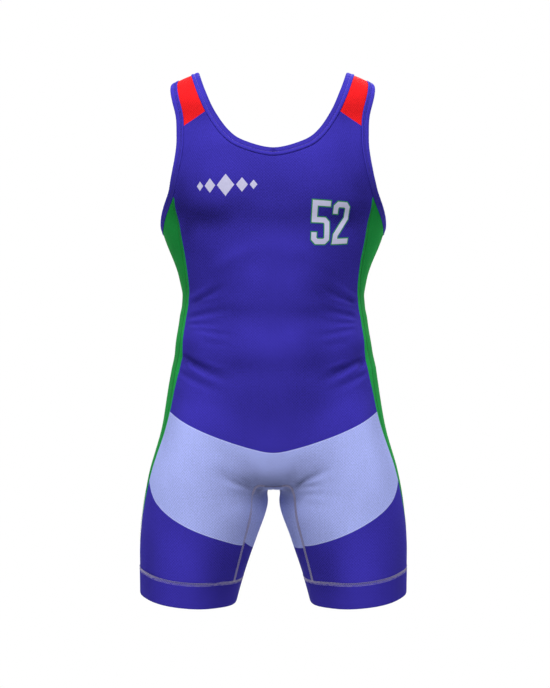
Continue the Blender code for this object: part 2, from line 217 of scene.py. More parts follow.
# The trunk and the left leg as level sections, and how they run into each other, as the solids have them.
Section = namedtuple("Section", "height half_width front back")
TRUNK = (
    Section(-0.740, 0.176, 0.100, 0.108),
    Section(-0.660, 0.178, 0.104, 0.114),
    Section(-0.600, 0.179, 0.107, 0.117),
    Section(-0.540, 0.175, 0.107, 0.113),
    Section(-0.490, 0.169, 0.105, 0.103),
    Section(-0.440, 0.1600, 0.103, 0.093),
    Section(-0.400, 0.1530, 0.102, 0.089),
    Section(-0.360, 0.1480, 0.103, 0.089),
    Section(-0.310, 0.159, 0.108, 0.096),
    Section(-0.250, 0.1825, 0.114, 0.106),
    Section(-0.180, 0.192, 0.109, 0.109),
    Section(-0.100, 0.199, 0.094, 0.104),
    Section(0.020, 0.202, 0.070, 0.088),
)
ROUNDNESS = 2.4
CAP_START = -0.086
CAP_HEIGHT = 0.100
CROTCH = -0.674
UNDER_BLEND = 0.055
LegSection = namedtuple("LegSection", "height centre half_width front back")
LEG = (
    LegSection(-0.900, 0.144, 0.073, 0.082, 0.083),
    LegSection(-0.860, 0.1390, 0.0780, 0.086, 0.087),
    LegSection(-0.810, 0.1320, 0.0855, 0.093, 0.094),
    LegSection(-0.760, 0.1235, 0.0940, 0.100, 0.102),
    LegSection(-0.700, 0.1115, 0.1000, 0.104, 0.108),
    LegSection(-0.640, 0.1010, 0.0910, 0.098, 0.108),
    LegSection(-0.580, 0.0920, 0.0700, 0.080, 0.090),
    LegSection(-0.500, 0.0850, 0.0450, 0.050, 0.055),
)
LEG_ROUNDNESS = 2.1
LEG_TOP = -0.520
LEG_BLEND = 0.055
LEG_BLEND_START = 0.030
LEG_PARTING = 0.006

# Cut edges and seams, as x, y and z near the form on the left half.
NECK = (                       # from the middle of the front, over the shoulder, to the middle of the back
    (0.000, -0.101, -0.1335),
    (0.045, -0.097, -0.1225),
    (0.070, -0.092, -0.1050),
    (0.093, -0.082, -0.0720),
    (0.108, -0.066, -0.0380),
    (0.1215, 0.000, 0.000),
    (0.117, 0.045, -0.030),
    (0.106, 0.075, -0.070),
    (0.078, 0.092, -0.110),
    (0.042, 0.098, -0.125),
    (0.000, 0.100, -0.129),
)
NECK_TURNS = 0, 3, 5, 7, 10    # the middle, the foot of the strap, the shoulder, the same behind
ARMHOLE = (                    # from the shoulder, down the front, under the arm and up the back
    (0.1630, 0.000, -0.0195),
    (0.1585, -0.060, -0.066),
    (0.1535, -0.070, -0.112),
    (0.1560, -0.072, -0.146),
    (0.1640, -0.068, -0.182),
    (0.1705, -0.061, -0.206),
    (0.1835, -0.026, -0.244),
    (0.1830, 0.012, -0.250),
    (0.178, 0.042, -0.237),
    (0.168, 0.066, -0.206),
    (0.154, 0.082, -0.150),
    (0.150, 0.082, -0.100),
    (0.157, 0.058, -0.052),
)
ARMHOLE_TURNS = 0, 2, 5, 9, 11, 13    # the shoulder, the strap's foot, the two side seams, and back up
CHEST_FRONT = ((0.000, -0.113, -0.226), (0.080, -0.108, -0.227))
CENTRE_FRONT = ((0, -0.102, -0.370), (0, -0.107, -0.500), (0, -0.104, -0.610))
SIDE_FRONT = (
    (0.1484, -0.068, -0.276),
    (0.1390, -0.045, -0.362),
    (0.1500, -0.045, -0.440),
    (0.1700, -0.042, -0.550),
    (0.2025, -0.030, -0.667),
)
SIDE_BACK = (
    (0.157, 0.062, -0.276),
    (0.140, 0.046, -0.360),
    (0.150, 0.048, -0.440),
    (0.172, 0.056, -0.545),
    (0.193, 0.062, -0.668),
)
CROTCH_FRONT = ((0.000, -0.080, -0.661), (0.0290, -0.083, -0.660))
INSEAM_FRONT = ((0.0320, -0.073, -0.690), (0.0425, -0.066, -0.742))
THIGH_FRONT = ((0.110, -0.104, -0.672),)
BAND_LEVEL = -0.8120
BAND_LEAN = radians(6.0)
BAND_PITCH = radians(2.5)
INSEAM_FRONT_TURN = 33.5
SIDE_FRONT_TURN = 187.0
SIDE_BACK_TURN = 219.0
INSEAM_BACK_TURN = 326.5

# Rows and columns of the fine mesh, about 3 mm apart.
ACROSS_HALF = 76
ACROSS_STRAP = 22
ACROSS_CROTCH = 10
ACROSS_LEG = ACROSS_HALF - ACROSS_CROTCH
ACROSS_SIDE = 40
ACROSS_INNER = 56
DOWN_STRAP = 40
DOWN_YOKE = 36
DOWN_TRUNK = 200
DOWN_LEG = 50
SPAN_STEPS = 24
WELD = 2e-6

# How the cloth stands off the form is told by tables in millimetres, a face at a time. Across is x on the
# front, the back, underneath and inside the legs, and y on the two sides.


def rows_of(kind, faces):
    """The rows of a table, each with the name of its face before its numbers."""
    return [kind(face, *numbers) for face, rows in faces.items() for numbers in rows]


# Creases of the stretched knit: each is a bowed line, deepest near its start, with a low ridge under it.
# One whose depth is below zero stands out instead. Ridge is a share of the depth, and fade is the share of
# the length after which the crease runs out.
Crease = namedtuple("Crease", "face across height across_end height_end bow depth width ridge fade")
CREASES = rows_of(Crease, {
    "front": (
        # the waist, on the wearer's right
        (-133, -377.5, -72, -343, -2, 1.9, 3.6, 0.2, 0.4),
        (-135.5, -369.1, -91.7, -342, -1.6, -1, 3.4, 0, 0.45),
        (-114.6, -371.7, -72.9, -361.8, 0, -0.7, 4, 0, 0.45),
        (-134, -384, -92, -370, 0, 0.6, 3, 0.6, 0.5),
        (-135, -398.5, -58, -381.5, 0.6, 1.5, 3.8, 0.9, 0.25),
        (-134, -408.5, -74, -409.5, 0, 0.9, 3, 0.8, 0.4),
        (-118, -417.5, -50, -428.5, -0.6, 1, 3.6, 0.6, 0.45),
        (-111, -436.5, -62, -442, 0, 0.6, 4.2, 0.4, 0.45),
        (-147.5, -459, -62, -497, -3.4, 3.6, 5.2, 0, 0.34),
        (-141.7, -468.6, -72.9, -504.6, -4, -2.6, 4.2, 0, 0.4),
        (-112.5, -466.5, -62.5, -481.7, -1, -0.7, 2.8, 0, 0.45),
        (-142.5, -469, -133, -481, 0, 1.2, 2.6, 0.3, 0.6),
        (-131, -471.5, -119, -484.5, 0, 1, 2.6, 0.3, 0.6),
        (-149.5, -484, -70, -516.5, -3.6, 1.6, 4, 0.4, 0.35),
        # the waist, on the wearer's left
        (130, -377, 76, -350, -1, 1.7, 3.4, 0.2, 0.4),
        (133.4, -368.1, 89.6, -338.9, -1, -1, 3.4, 0, 0.45),
        (133.4, -380.6, 81.3, -365, -1, -0.8, 3.6, 0, 0.45),
        (132, -383, 92, -373, 0, 0.6, 3, 0.6, 0.5),
        (132, -398.5, 67, -381.5, 0.6, 1.4, 3.6, 0.9, 0.25),
        (132, -406, 76, -407.5, 0, 0.9, 3, 0.8, 0.4),
        (125, -417.5, 54, -428.5, -0.6, 1, 3.6, 0.6, 0.45),
        (115, -438, 67, -444, 0, 0.6, 4.2, 0.4, 0.45),
        (144.5, -467, 66, -500.5, 0, 3.7, 5.3, 0, 0.34),
        (138.6, -470.2, 78.1, -503.5, -3.6, -2.5, 4.2, 0, 0.4),
        (116.7, -466, 70.9, -484.8, 0, -0.7, 2.8, 0, 0.45),
        (143.5, -470.5, 135, -482.5, 0, 1.2, 2.6, 0.3, 0.6),
        (147.5, -486.5, 80, -515.5, -1.6, 1.5, 4, 0.4, 0.35),
        # under the chest and over the hips, broad and shallow
        (-165, -226, -55, -250, -6, 3, 18, 0.2, 0.45),
        (168, -224, 60, -248, -6, 2.8, 18, 0.2, 0.45),
        (-98, -330, 80, -316, 34, -1.7, 14, 0, 0.8),
        (-138, -505, -52, -590, -4, -0.8, 14, 0, 0.75),
        (138, -505, 52, -590, -4, -0.8, 14, 0, 0.75),
        (-22, -652, -128, -590, 10, 0.8, 12, 0, 0.5),
        (22, -652, 128, -590, 8, 0.8, 12, 0, 0.5),
        (-100, -336, -18, -306, 6, 0.9, 9, 0.3, 0.7),
        (98, -336, 24, -306, 6, 0.9, 9, 0.3, 0.7),
        (-153, -520, -80, -531, -3, 1, 13, 0.3, 0.3),
        (152, -515, 84, -527, -2, 0.9, 14, 0.3, 0.3),
        # the groin
        (-31, -669, -85, -642, -1.6, 2.2, 3.4, 0.4, 0.35),
        (-34, -661, -55, -646, 0, 1, 3.2, 0.3, 0.4),
        (-29, -676, -72, -670, 0, 0.7, 3.6, 0.4, 0.45),
        (-44, -654, -112, -630, 2, 0.7, 7, 0.3, 0.4),
        (32, -665.5, 94, -631, 1.6, 2.2, 3.6, 0.4, 0.35),
        (33, -669, 80, -659.5, 1.6, 1.5, 3.4, 0.5, 0.4),
        (36, -675.5, 92, -672, 0, 0.6, 3.8, 0.4, 0.45),
        (44, -650, 110, -616, 2, 0.7, 7, 0.3, 0.4),
        (-45, -677, -118, -681, 2, 0.4, 5, 0.5, 0.4),
        (-52, -689, -105, -693, 0, 0.4, 5, 0.5, 0.4),
        (46, -676, 125, -678, 2, 0.4, 5, 0.5, 0.4),
        (52, -691, 98, -690, 0, 0.4, 5, 0.5, 0.4),
    ),
    "back": (
        # across the loins, under the seat, and out from the armholes
        (-146, -380, -35, -371, -4, 2.4, 8, 0.5, 0.4),
        (143, -384, 40, -368, -5, 2.2, 7.5, 0.5, 0.35),
        (-144, -412, -60, -398, -3, 1.5, 6, 0.5, 0.3),
        (147, -418, 50, -401, -4, 1.8, 6.5, 0.5, 0.3),
        (-150, -455, -45, -434, -5, 3, 8.5, 0.5, 0.35),
        (151, -459, 35, -437, -6, 2.7, 8, 0.5, 0.4),
        (148, -482, 80, -468, -3, 1.4, 5.5, 0.5, 0.3),
        (-28, -664, -120, -676, -10, 2.6, 7, 0.4, 0.45),
        (28, -664, 128, -679, -10, 2.4, 7, 0.4, 0.4),
        (-30, -652, -95, -640, -4, 1.4, 6, 0.4, 0.3),
        (31, -654, 88, -638, -3, 1.5, 6, 0.4, 0.3),
        (-45, -690, -110, -699, -2, 0.7, 4.5, 0.5, 0.35),
        (48, -693, 120, -700, -2, 0.7, 4.5, 0.5, 0.35),
        (157, -212, 85, -262, -4, 1.4, 9, 0.3, 0.3),
        (-158, -208, -75, -255, -4, 1.6, 9.5, 0.3, 0.3),
    ),
    "left": (
        # where the folds of the waist run round
        (-40, -384, 56, -386, 3, 0.6, 8, 0.5, 0.7),
        (-42, -463, 62, -458, 4, 0.7, 10, 0.3, 0.75),
        (62, -480, -20, -486, 0, 1, 7, 0.5, 0.55),
        (50, -300, -40, -335, 0, 0.6, 8, 0.4, 0.4),
        (45, -345, -50, -372, 0, 0.6, 6, 0.4, 0.5),
    ),
    "right": (
        (-40, -378, 56, -382, 2, 0.6, 8, 0.5, 0.7),
        (-42, -461, 62, -455, 3, 0.7, 10, 0.3, 0.75),
        (62, -478, -18, -488, 0, 1, 7, 0.5, 0.5),
        (48, -310, -45, -328, 0, 0.6, 8, 0.4, 0.4),
        (40, -350, -52, -366, 0, 0.6, 6, 0.4, 0.5),
    ),
})
# Where the body underneath fills the cloth out, or lets it fall in.
Swell = namedtuple("Swell", "face across height half_across half_height rise")
SWELLS = rows_of(Swell, {
    "front": (
        # the straps
        (-125, -46, 40, 18, 2.2), (125, -46, 40, 18, 1.6), (-125, -80, 40, 16, -2),
        (125, -80, 40, 16, -2),
        # the chest
        (-85, -176, 64, 42, 3.6), (85, -176, 64, 42, 3.4), (-104, -124, 40, 24, 2),
        (104, -124, 40, 24, 2), (0, -190, 50, 20, 0.6),
        # beside it, below the arms
        (-132, -192, 30, 26, -1.6), (132, -190, 30, 26, -2), (-150, -244, 26, 34, -3.6),
        (150, -242, 26, 34, -3.8),
        # under it
        (-98, -246, 52, 20, -5), (96, -246, 52, 20, -4.8), (0, -250, 62, 18, -3),
        # the belly and the waist
        (-28, -346, 16, 20, 1.4), (31, -348, 17, 22, 1.4), (0, -344, 56, 26, 0.8),
        (-66, -394, 36, 14, -2.8), (74, -396, 40, 14, -3.6), (0, -392, 50, 14, -1.2),
        (-34, -424, 20, 16, 1.4), (30, -428, 20, 19, 1.6), (-114, -430, 28, 24, 3),
        (114, -430, 28, 24, 2.6), (-90, -352, 24, 22, -1.4), (88, -350, 24, 22, -1.8),
        # the flanks, and the waist's lower fold
        (-115, -320, 36, 60, -2), (115, -320, 36, 60, -2), (-138, -450, 18, 16, -2.6),
        (138, -454, 18, 14, -2.6), (-60, -480, 40, 18, -3), (62, -480, 44, 19, -4),
        (0, -482, 30, 16, -1),
        # below the waist
        (0, -446, 56, 23, 2.6), (5, -470, 85, 34, 1), (30, -530, 50, 30, -1.2),
        (-40, -530, 40, 30, -0.6), (0, -555, 110, 40, -1.8),
        # the hips and the tops of the thighs
        (-118, -556, 42, 48, 3.8), (118, -556, 42, 48, 4), (-164, -545, 18, 42, -2.4),
        (164, -548, 18, 44, -2.6), (150, -665, 52, 60, 2), (-145, -665, 45, 50, 0.8),
        # the thighs
        (-148, -805, 42, 62, 6.2), (150, -805, 46, 62, 6.2), (-84, -815, 22, 60, -3.4),
        (86, -815, 22, 60, -4), (-200, -800, 18, 70, -3.4), (206, -800, 18, 70, -2.6),
        # the groin
        (-66, -650, 36, 26, -3), (68, -646, 38, 26, -3.2), (0, -600, 50, 24, 1),
    ),
    "under": (
        (0, -674, 30, 16, -0.6),
    ),
    "inner": (
        (0, -681, 160, 11, -3), (0, -714, 160, 26, 1.2),
    ),
    "left": (
        # the ribs and the waist
        (0, -290, 60, 30, 2.2), (0, -350, 60, 28, 0.9),
    ),
    "right": (
        # the ribs and the waist, the hip and the thigh
        (0, -290, 60, 30, 2.2), (0, -335, 60, 30, 1.3), (0, -472, 80, 24, -2),
        (0, -640, 100, 130, -1.4),
    ),
    "back": (
        # the shoulder blades
        (-85, -150, 60, 60, 3), (85, -150, 60, 60, 3),
        # the spine
        (0, -200, 16, 160, -2.2), (0, -400, 40, 60, -2),
        # the seat
        (-85, -575, 70, 60, 4), (85, -575, 70, 60, 4),
    ),
})
# Tone alone, with no height to it: above zero the knit is paler, and below it deeper. These were set
# to bring each place to its brightness, so part of it is shade painted in, most of all at the groin.
# Each row paints light into the knit's colour where it is above zero, and shade where it is below.
TONES = rows_of(Swell, {
    "front": (
        # beside the bindings, and under the arms
        (-72, -118, 32, 16, 2.8), (-100, -98, 22, 20, 1.2), (96, -98, 22, 20, 1),
        (62, -128, 32, 14, 2.6), (-145, -108, 14, 30, 3), (137, -108, 14, 30, 3.3),
        (139, -199, 12, 14, -1.4), (137, -235, 12, 14, 2.8), (-142, -264, 14, 14, -1.8),
        (-125, -215, 22, 14, -1.2), (58, -218, 45, 14, -2.2),
        # above the bands
        (-120, -826, 70, 12, -1.2), (125, -826, 75, 12, -1.4),
        # the straps, the yoke and the chest
        (0, -23, 160, 20, 4), (0, -95, 160, 28, 3.6), (20, -142, 56, 14, 2.7), (0, -197, 130, 20, -2.3),
        (-153, -192, 20, 26, -4), (143, -190, 20, 22, -3.4), (-54, -223, 28, 15, -3.6),
        (157, -227, 15, 18, 3), (-148, -203, 18, 18, -1.6), (110, -194, 35, 16, -1.2),
        (-140, -236, 16, 12, 1.5), (-128, -292, 18, 24, -1),
        # along the side seams
        (-138, -265, 14, 22, -2.4), (134, -455, 14, 10, -1.6), (-135, -361, 14, 32, -3.4),
        (140, -267, 14, 16, -2.6), (133, -361, 14, 20, -2.2), (-130, -371.5, 6, 12, 2.2),
        (127, -371.5, 8, 14, -2.8), (-141, -465, 14, 10, -2.6), (139, -463, 14, 10, -2.4),
        # the belly, the waist and the hips
        (0, -320, 52, 54, 2.5), (-56, -296, 32, 20, 2.2), (50, -286, 22, 14, 1.5),
        (-83, -359, 18, 18, -1.2), (75, -361, 28, 20, -3.8), (-31, -427, 70, 16, 1.3),
        (-52, -469, 44, 22, -1.5), (65, -450, 32, 22, -2.5), (65, -515, 40, 36, -2.1),
        (-125, -530, 18, 32, 0.8), (123, -534, 16, 32, 0.7), (127, -462, 20, 8, -3),
        (-117, -467, 18, 7, -2.4), (-133, -452, 12, 9, -1.8), (-175, -586, 18, 42, -2.7),
        (171, -581, 20, 40, -2.2),
        # the left hip, and the thighs
        (182, -617, 20, 56, -3.9), (-63, -721, 26, 24, -1.2), (58, -723, 26, 20, -0.6),
        (-60, -794, 20, 40, -2.2), (60, -795, 20, 40, -1.6), (-162, -740, 22, 14, 1),
        (188, -794, 34, 60, -2.4), (-167, -799, 40, 26, -1.4),
        # the groin
        (0, -662, 42, 21, -9.8), (-40, -659, 22, 18, -3), (40, -656, 22, 18, -3), (-48, -675, 22, 9, 2),
        (52, -676, 26, 10, 2.6), (-18, -676, 11, 9, -5.5), (17, -675, 11, 8, -4.5),
        (-14, -690, 10, 14, -2.5), (14, -690, 10, 14, -1.5), (0, -619, 56, 13, -1.7),
    ),
    "under": (
        (0, -676, 30, 16, -4),
    ),
    "inner": (
        (0, -728, 160, 60, -3),
    ),
    "left": (
        (0, -575, 150, 85, 2.6),
    ),
    "right": (
        (0, -596, 150, 90, 2.4), (0, -375, 150, 18, -1.4), (0, -286, 150, 30, -1),
    ),
})
CREASE_STARTS = -0.10, 0.14    # shares of its length over which a crease deepens
CREASE_ENDS = 1.08
CREASE_WIDENS = 0.5            # how much wider it is at its end
RIDGE_BELOW = 1.9              # how far under a crease its ridge is, in its widths
CREASE_FACING = 0.15, 0.65     # how squarely the form has to face a crease's way
SWELL_FACING = 0.05, 0.65
UNEVENNESS = 0.16              # millimetres
CREASE_TONE = 1.9              # how much more than its depth a crease counts for in the colour: painted shade
# For each face the axis across it, the axis that it looks along, and which way. Inside the legs that is
# towards the middle from either side.
FACES = {"front": (0, 1, -1), "back": (0, 1, 1), "left": (1, 0, 1), "right": (1, 0, -1),
         "under": (0, 2, -1), "inner": (1, 0, 0)}

# The dyed areas. The pale field lies between an upper edge, a shallow V, and a lower edge on each leg.
DyedEdge = namedtuple("DyedEdge", "x upper lower")
PALE_FIELD = (
    DyedEdge(0.000, -0.6103, -0.7640),
    DyedEdge(0.012, -0.6092, -0.7632),
    DyedEdge(0.030, -0.6053, -0.7622),
    DyedEdge(0.0525, -0.5991, -0.7601),
    DyedEdge(0.0756, -0.5915, -0.7523),
    DyedEdge(0.1064, -0.5800, -0.7403),
    DyedEdge(0.1423, -0.5632, -0.7232),
    DyedEdge(0.1640, -0.5507, -0.7103),
    DyedEdge(0.1800, -0.5394, -0.6976),
    DyedEdge(0.1904, -0.5300, -0.6855),
    DyedEdge(0.1990, -0.5230, -0.6655),
    DyedEdge(0.2050, -0.5180, -0.6400),
)
Point = namedtuple("Point", "x y z")
RED_START = Point(0.1068, -0.0795, -0.0725)    # the lower edge of the red, at the neck and at the armhole
RED_END = Point(0.1416, -0.073, -0.0954)
ASKEW = 0.0015                 # how much lower the left leg's field ends, and how much higher the right's
ASKEW_AT = 0.085
ASKEW_HALF = 0.040
MESH_CELL = 0.0044             # two of the knit's cells
OPEN_MESH = 0.50               # how much deeper the colour is between its threads
RIB = 0.0009
COURSE = 0.0011
PRINT_SOFTNESS = 0.0004        # the width of a print's edge
PRINT_FILLS = 0.2              # the share of the mesh that a print fills
REVERSE_SHARE = 0.45           # how far the reverse's colour goes from the face's to REVERSE
# The knit's tone follows the relief: partly stretch, partly painted light on rises and shade in hollows.
TONE_PER_MM = 0.05             # how much paler the knit is for each millimetre raised
# How far the bright green reaches over the front from the side seam, in millimetres.
Edging = namedtuple("Edging", "height width")
GREEN_EDGING = [Edging(*row) for row in (
    (-640, 5.2), (-600, 5.4), (-560, 6.5), (-540, 6.6), (-520, 7.5), (-495, 11.7), (-470, 13.2),
    (-450, 9.6), (-440, 8.7), (-425, 9), (-412, 9), (-398, 8.8), (-386, 9.6), (-370, 8.5), (-350, 7.5),
    (-332, 6.4), (-305, 5.2), (-280, 4.5), (-250, 2.6), (-236, 1.8), (-223, 3.6), (-209.5, 7.2),
    (-200, 7.2),
)]
TUCK = 0.0013                  # how far the painted shadow under a binding's edge reaches on to the panel


def paint(red, green, blue):
    """A colour given as it looks, from 0 to 255, as the light that it reflects."""
    seen_as = np.array((red, green, blue)) / 255
    return (*np.where(seen_as > 0.04045, ((seen_as + 0.055) / 1.055) ** 2.4, seen_as / 12.92), 1.0)


ROYAL = paint(54, 46, 155)
PALE_EDGE = paint(174, 184, 238)
PALE_EDGE_WIDTH = 0.0016
PALE_BLUE = paint(160, 170, 230)
RED = paint(226, 30, 34)
GREEN = paint(28, 138, 61)
BRIGHT_GREEN = paint(30, 149, 67)
REVERSE = paint(150, 150, 190)
# A dark line printed where a binding's edge meets the panel: painted shadow.
SHADOW = paint(38, 32, 106)


def read(rows, name, at):
    """One column of a table at any value of its first, on a smooth curve through the rows."""
    level = np.array([row[0] for row in rows])
    value = np.array([getattr(row, name) for row in rows])
    slope = np.gradient(value, level)
    at = np.clip(at, level[0], level[-1])
    low = np.clip(np.searchsorted(level, at) - 1, 0, len(level) - 2)
    step = level[low + 1] - level[low]
    t = (at - level[low]) / step
    bend = step * t * (1 - t) * (slope[low] * (1 - t) - slope[low + 1] * t)
    return value[low] * (1 + 2 * t) * (1 - t) ** 2 + value[low + 1] * t * t * (3 - 2 * t) + bend


def soft_min(a, b, blend):
    """The smaller of two distances, rounded over where they are nearly equal."""
    near = np.maximum(blend - np.abs(a - b), 0) / blend
    return np.minimum(a, b) - near * near * blend / 4


def form(points):
    """Roughly the distance outside the body. The trunk is a superellipse at each level, closed over the
    shoulders and cut off at the crotch, and each leg is another, blended into it."""
    x = np.sqrt(points[..., 0] ** 2 + LEG_PARTING ** 2)
    y, z = points[..., 1], points[..., 2]
    side = np.where(y < 0, read(TRUNK, "front", z), read(TRUNK, "back", z))
    cap = np.maximum(z - CAP_START, 0) / CAP_HEIGHT
    sum_of_powers = ((x / read(TRUNK, "half_width", z)) ** ROUNDNESS
                     + (np.abs(y) / side) ** ROUNDNESS + cap ** ROUNDNESS)
    trunk = (sum_of_powers ** (1 / ROUNDNESS) - 1) * side
    trunk = -soft_min(-trunk, z - CROTCH, UNDER_BLEND)
    side = np.where(y < 0, read(LEG, "front", z), read(LEG, "back", z))
    across = np.abs(x - read(LEG, "centre", z)) / read(LEG, "half_width", z)
    leg = ((across ** LEG_ROUNDNESS + (np.abs(y) / side) ** LEG_ROUNDNESS) ** (1 / LEG_ROUNDNESS) - 1)
    leg = np.maximum(leg * side, z - LEG_TOP)
    return soft_min(trunk, leg, LEG_BLEND * x / (x + LEG_BLEND_START))


def slope_of_form(points):
    """The form's gradient, from small steps along each axis."""
    step = 1e-5
    parts = [form(points + step * axis) - form(points - step * axis) for axis in np.eye(3)]
    return np.stack(parts, axis=-1) / (2 * step)


def onto_form(points, rounds=8):
    """Each point moved along the gradient until it lies on the form."""
    points = np.array(points, dtype=float)
    for _ in range(rounds):
        slope = slope_of_form(points)
        steepness = (slope ** 2).sum(-1, keepdims=True)
        points -= form(points)[..., None] * slope / np.maximum(steepness, 1e-6)
    return points


def unit(vectors):
    """The same directions, each one long."""
    return vectors / np.linalg.norm(vectors, axis=-1, keepdims=True)


def outward(points):
    """Unit normals of the form."""
    return unit(slope_of_form(points))


def smooth(t, start, end):
    """0 before start, 1 after end, and an S-curve from one to the other."""
    t = np.clip((t - start) / (end - start), 0, 1)
    return t * t * (3 - 2 * t)


def bell(t, middle, half):
    """A bell curve: 1 in the middle, and 1/e at half to either side."""
    return np.exp(-((t - middle) / half) ** 2)


def swelling(points, normals, table):
    """The sum of bell curves both ways, each where the form faces its way."""
    height = np.zeros(points.shape[:-1])
    for swell in table:
        axis, facing_axis, sign = FACES[swell.face]
        bells = (bell(1000 * points[..., axis], swell.across, swell.half_across)
                 * bell(1000 * points[..., 2], swell.height, swell.half_height))
        facing = smooth((sign or -np.sign(points[..., 0])) * normals[..., facing_axis], *SWELL_FACING)
        height += swell.rise * facing * bells
    return height / 1000


def relief(points, normals, sharpness=1.0):
    """How far the cloth stands off the form: less in each crease, more on the ridge under it. A crease is
    a chord with a bow. Across it goes a bell curve, and along it the depth rises at once and runs out,
    where the form faces its way. Sharpness makes the creases count for more beside the swells. Slow sines
    add a faint unevenness."""
    height = np.zeros(points.shape[:-1])
    for crease in CREASES:
        axis, facing_axis, sign = FACES[crease.face]
        run = crease.across_end - crease.across, crease.height_end - crease.height
        length = np.hypot(*run)
        from_start = 1000 * points[..., axis] - crease.across, 1000 * points[..., 2] - crease.height
        t = (from_start[0] * run[0] + from_start[1] * run[1]) / length ** 2
        off = (from_start[1] * run[0] - from_start[0] * run[1]) / length * np.sign(run[0])
        off = off - crease.bow * 4 * t * (1 - t)
        width = crease.width * (1 + CREASE_WIDENS * np.clip(t, 0, 1))
        shape = bell(off, 0, width) - crease.ridge * bell(off, -RIDGE_BELOW * width, width)
        along = smooth(t, *CREASE_STARTS) * (1 - smooth(t, crease.fade, CREASE_ENDS))
        facing = smooth(sign * normals[..., facing_axis], *CREASE_FACING)
        height -= sharpness * crease.depth * along * facing * shape
    x, y, z = np.moveaxis(points, -1, 0)
    uneven = np.sin(61 * x + 23 * z + 1.0) * np.sin(47 * z - 19 * y)
    uneven = uneven + 0.6 * np.sin(97 * z + 53 * x - 31 * y)
    return swelling(points, normals, SWELLS) + (height + UNEVENNESS * uneven) / 1000


def tone(points):
    """What a knit's colour follows, in millimetres: the relief with sharper creases, which is partly
    stretch and partly painted shade in the creases and hollows and painted light on the rises, and TONES,
    which is painted light and shade.
    """
    normals = outward(points)
    return 1000 * (relief(points, normals, sharpness=CREASE_TONE) + swelling(points, normals, TONES))


def laid(points, height):
    """Points of the form moved out on to the creased cloth, and by a height more."""
    normals = outward(points)
    return points + normals * (relief(points, normals) + height)[..., None]


def curve(points, closed=False):
    """A smooth curve on the form through the given points: Catmull-Rom spans, each in SPAN_STEPS."""
    points = onto_form(points)
    if closed:
        ends = points[[-1]], points[[0, 1]]
    else:
        ends = 2 * points[[0]] - points[[1]], 2 * points[[-1]] - points[[-2]]
    knots = np.concatenate((ends[0], points, ends[1]))
    t = np.linspace(0, 1, SPAN_STEPS, endpoint=False)[:, None]
    spans = []
    for a, b, c, d in zip(knots, knots[1:], knots[2:], knots[3:]):
        spans.append(b + 0.5 * t * (c - a + t * (2 * a - 5 * b + 4 * c - d + t * (3 * (b - c) + d - a))))
    spans.append(knots[-2:-1])
    return onto_form(np.concatenate(spans))


def lengths_along(line):
    """How far along a line each of its points is."""
    return np.concatenate(([0], np.cumsum(np.linalg.norm(np.diff(line, axis=0), axis=1))))


def shares(line):
    """How far along a line each of its points is, as a share of the whole."""
    length = lengths_along(line)
    return length / length[-1]


def between(t, knots, values):
    """Every column of values at t, straight from one knot to the next."""
    return np.stack([np.interp(t, knots, column) for column in values.T], axis=-1)


def spaced(line, count):
    """The same curve in count equal steps."""
    return onto_form(between(np.linspace(0, 1, count + 1), shares(line), line))


def beside(line, width, closed=True):
    """A curve on the form that keeps a width to the right of the line, seen from outside."""
    if closed:
        along = np.roll(line, -1, axis=0) - np.roll(line, 1, axis=0)
    else:
        along = np.gradient(line, axis=0)
    return onto_form(line + width * unit(np.cross(along, outward(line))))


def stretches(line, turns, steps):
    """A curve cut at some of the points it was drawn through, each stretch in its own steps."""
    cuts = SPAN_STEPS * np.array(turns)
    return [spaced(line[a:b + 1], count) for a, b, count in zip(cuts, cuts[1:], steps)]


def patch(top, bottom, left, right):
    """A grid between four edges: a Coons patch, dropped on to the form."""
    u = 0.5 * (shares(top) + shares(bottom))[None, :, None]
    v = 0.5 * (shares(left) + shares(right))[:, None, None]
    corners = (1 - v) * ((1 - u) * top[0] + u * top[-1]) + v * ((1 - u) * bottom[0] + u * bottom[-1])
    grid = (1 - v) * top + v * bottom + (1 - u) * left[:, None] + u * right[:, None] - corners
    grid = onto_form(grid)
    grid[0], grid[-1], grid[:, 0], grid[:, -1] = top, bottom, left, right
    return grid


def leg_ring(level, start, end, count):
    """Part of a sloping ring round the left leg: turn 0 faces the other leg, and 90 the front."""
    turn = np.radians(np.linspace(start, end, count + 1))
    centre = read(LEG, "centre", level)
    x = centre - read(LEG, "half_width", level) * np.cos(turn)
    y = -read(LEG, "front", level) * np.sin(turn)
    z = level + tan(BAND_LEAN) * (x - centre) + tan(BAND_PITCH) * y
    return onto_form(np.stack((x, y, z), axis=1))


def body_panel(neck, armhole, shoulder, chest, centre, side, crotch, inseam, thigh, turns):
    """The left half of the front or the back: the strap, the yoke, the trunk and the leg as grids, and the
    seam that the inner leg shares with it."""
    (neck_yoke, neck_strap), (arm_strap, arm_yoke), (side_upper, side_lower) = neck, armhole, side
    strap_foot = spaced(curve((neck_strap[0], arm_strap[-1])), ACROSS_STRAP)
    strap = patch(shoulder, strap_foot, neck_strap[::-1], arm_strap)

    chest_row = spaced(curve((*chest, side_upper[0])), ACROSS_HALF)
    centre_top = spaced(curve((neck_yoke[0], chest_row[0])), DOWN_YOKE)
    yoke = patch(np.concatenate((neck_yoke, strap_foot[1:])), chest_row, centre_top, arm_yoke)

    crotch_row = spaced(curve(crotch), ACROSS_CROTCH)
    thigh_row = spaced(curve((crotch_row[-1], *thigh, side_lower[0])), ACROSS_LEG)
    centre_low = spaced(curve((chest_row[0], *centre, crotch_row[0])), DOWN_TRUNK)
    trunk = patch(chest_row, np.concatenate((crotch_row, thigh_row[1:])), centre_low, side_upper)

    band_row = leg_ring(BAND_LEVEL, *turns, ACROSS_LEG)
    inseam_row = spaced(curve((thigh_row[0], *inseam, band_row[0])), DOWN_LEG)
    leg = patch(thigh_row, band_row, inseam_row, side_lower)
    return (strap, yoke, trunk, leg), np.concatenate((crotch_row, inseam_row[1:]))


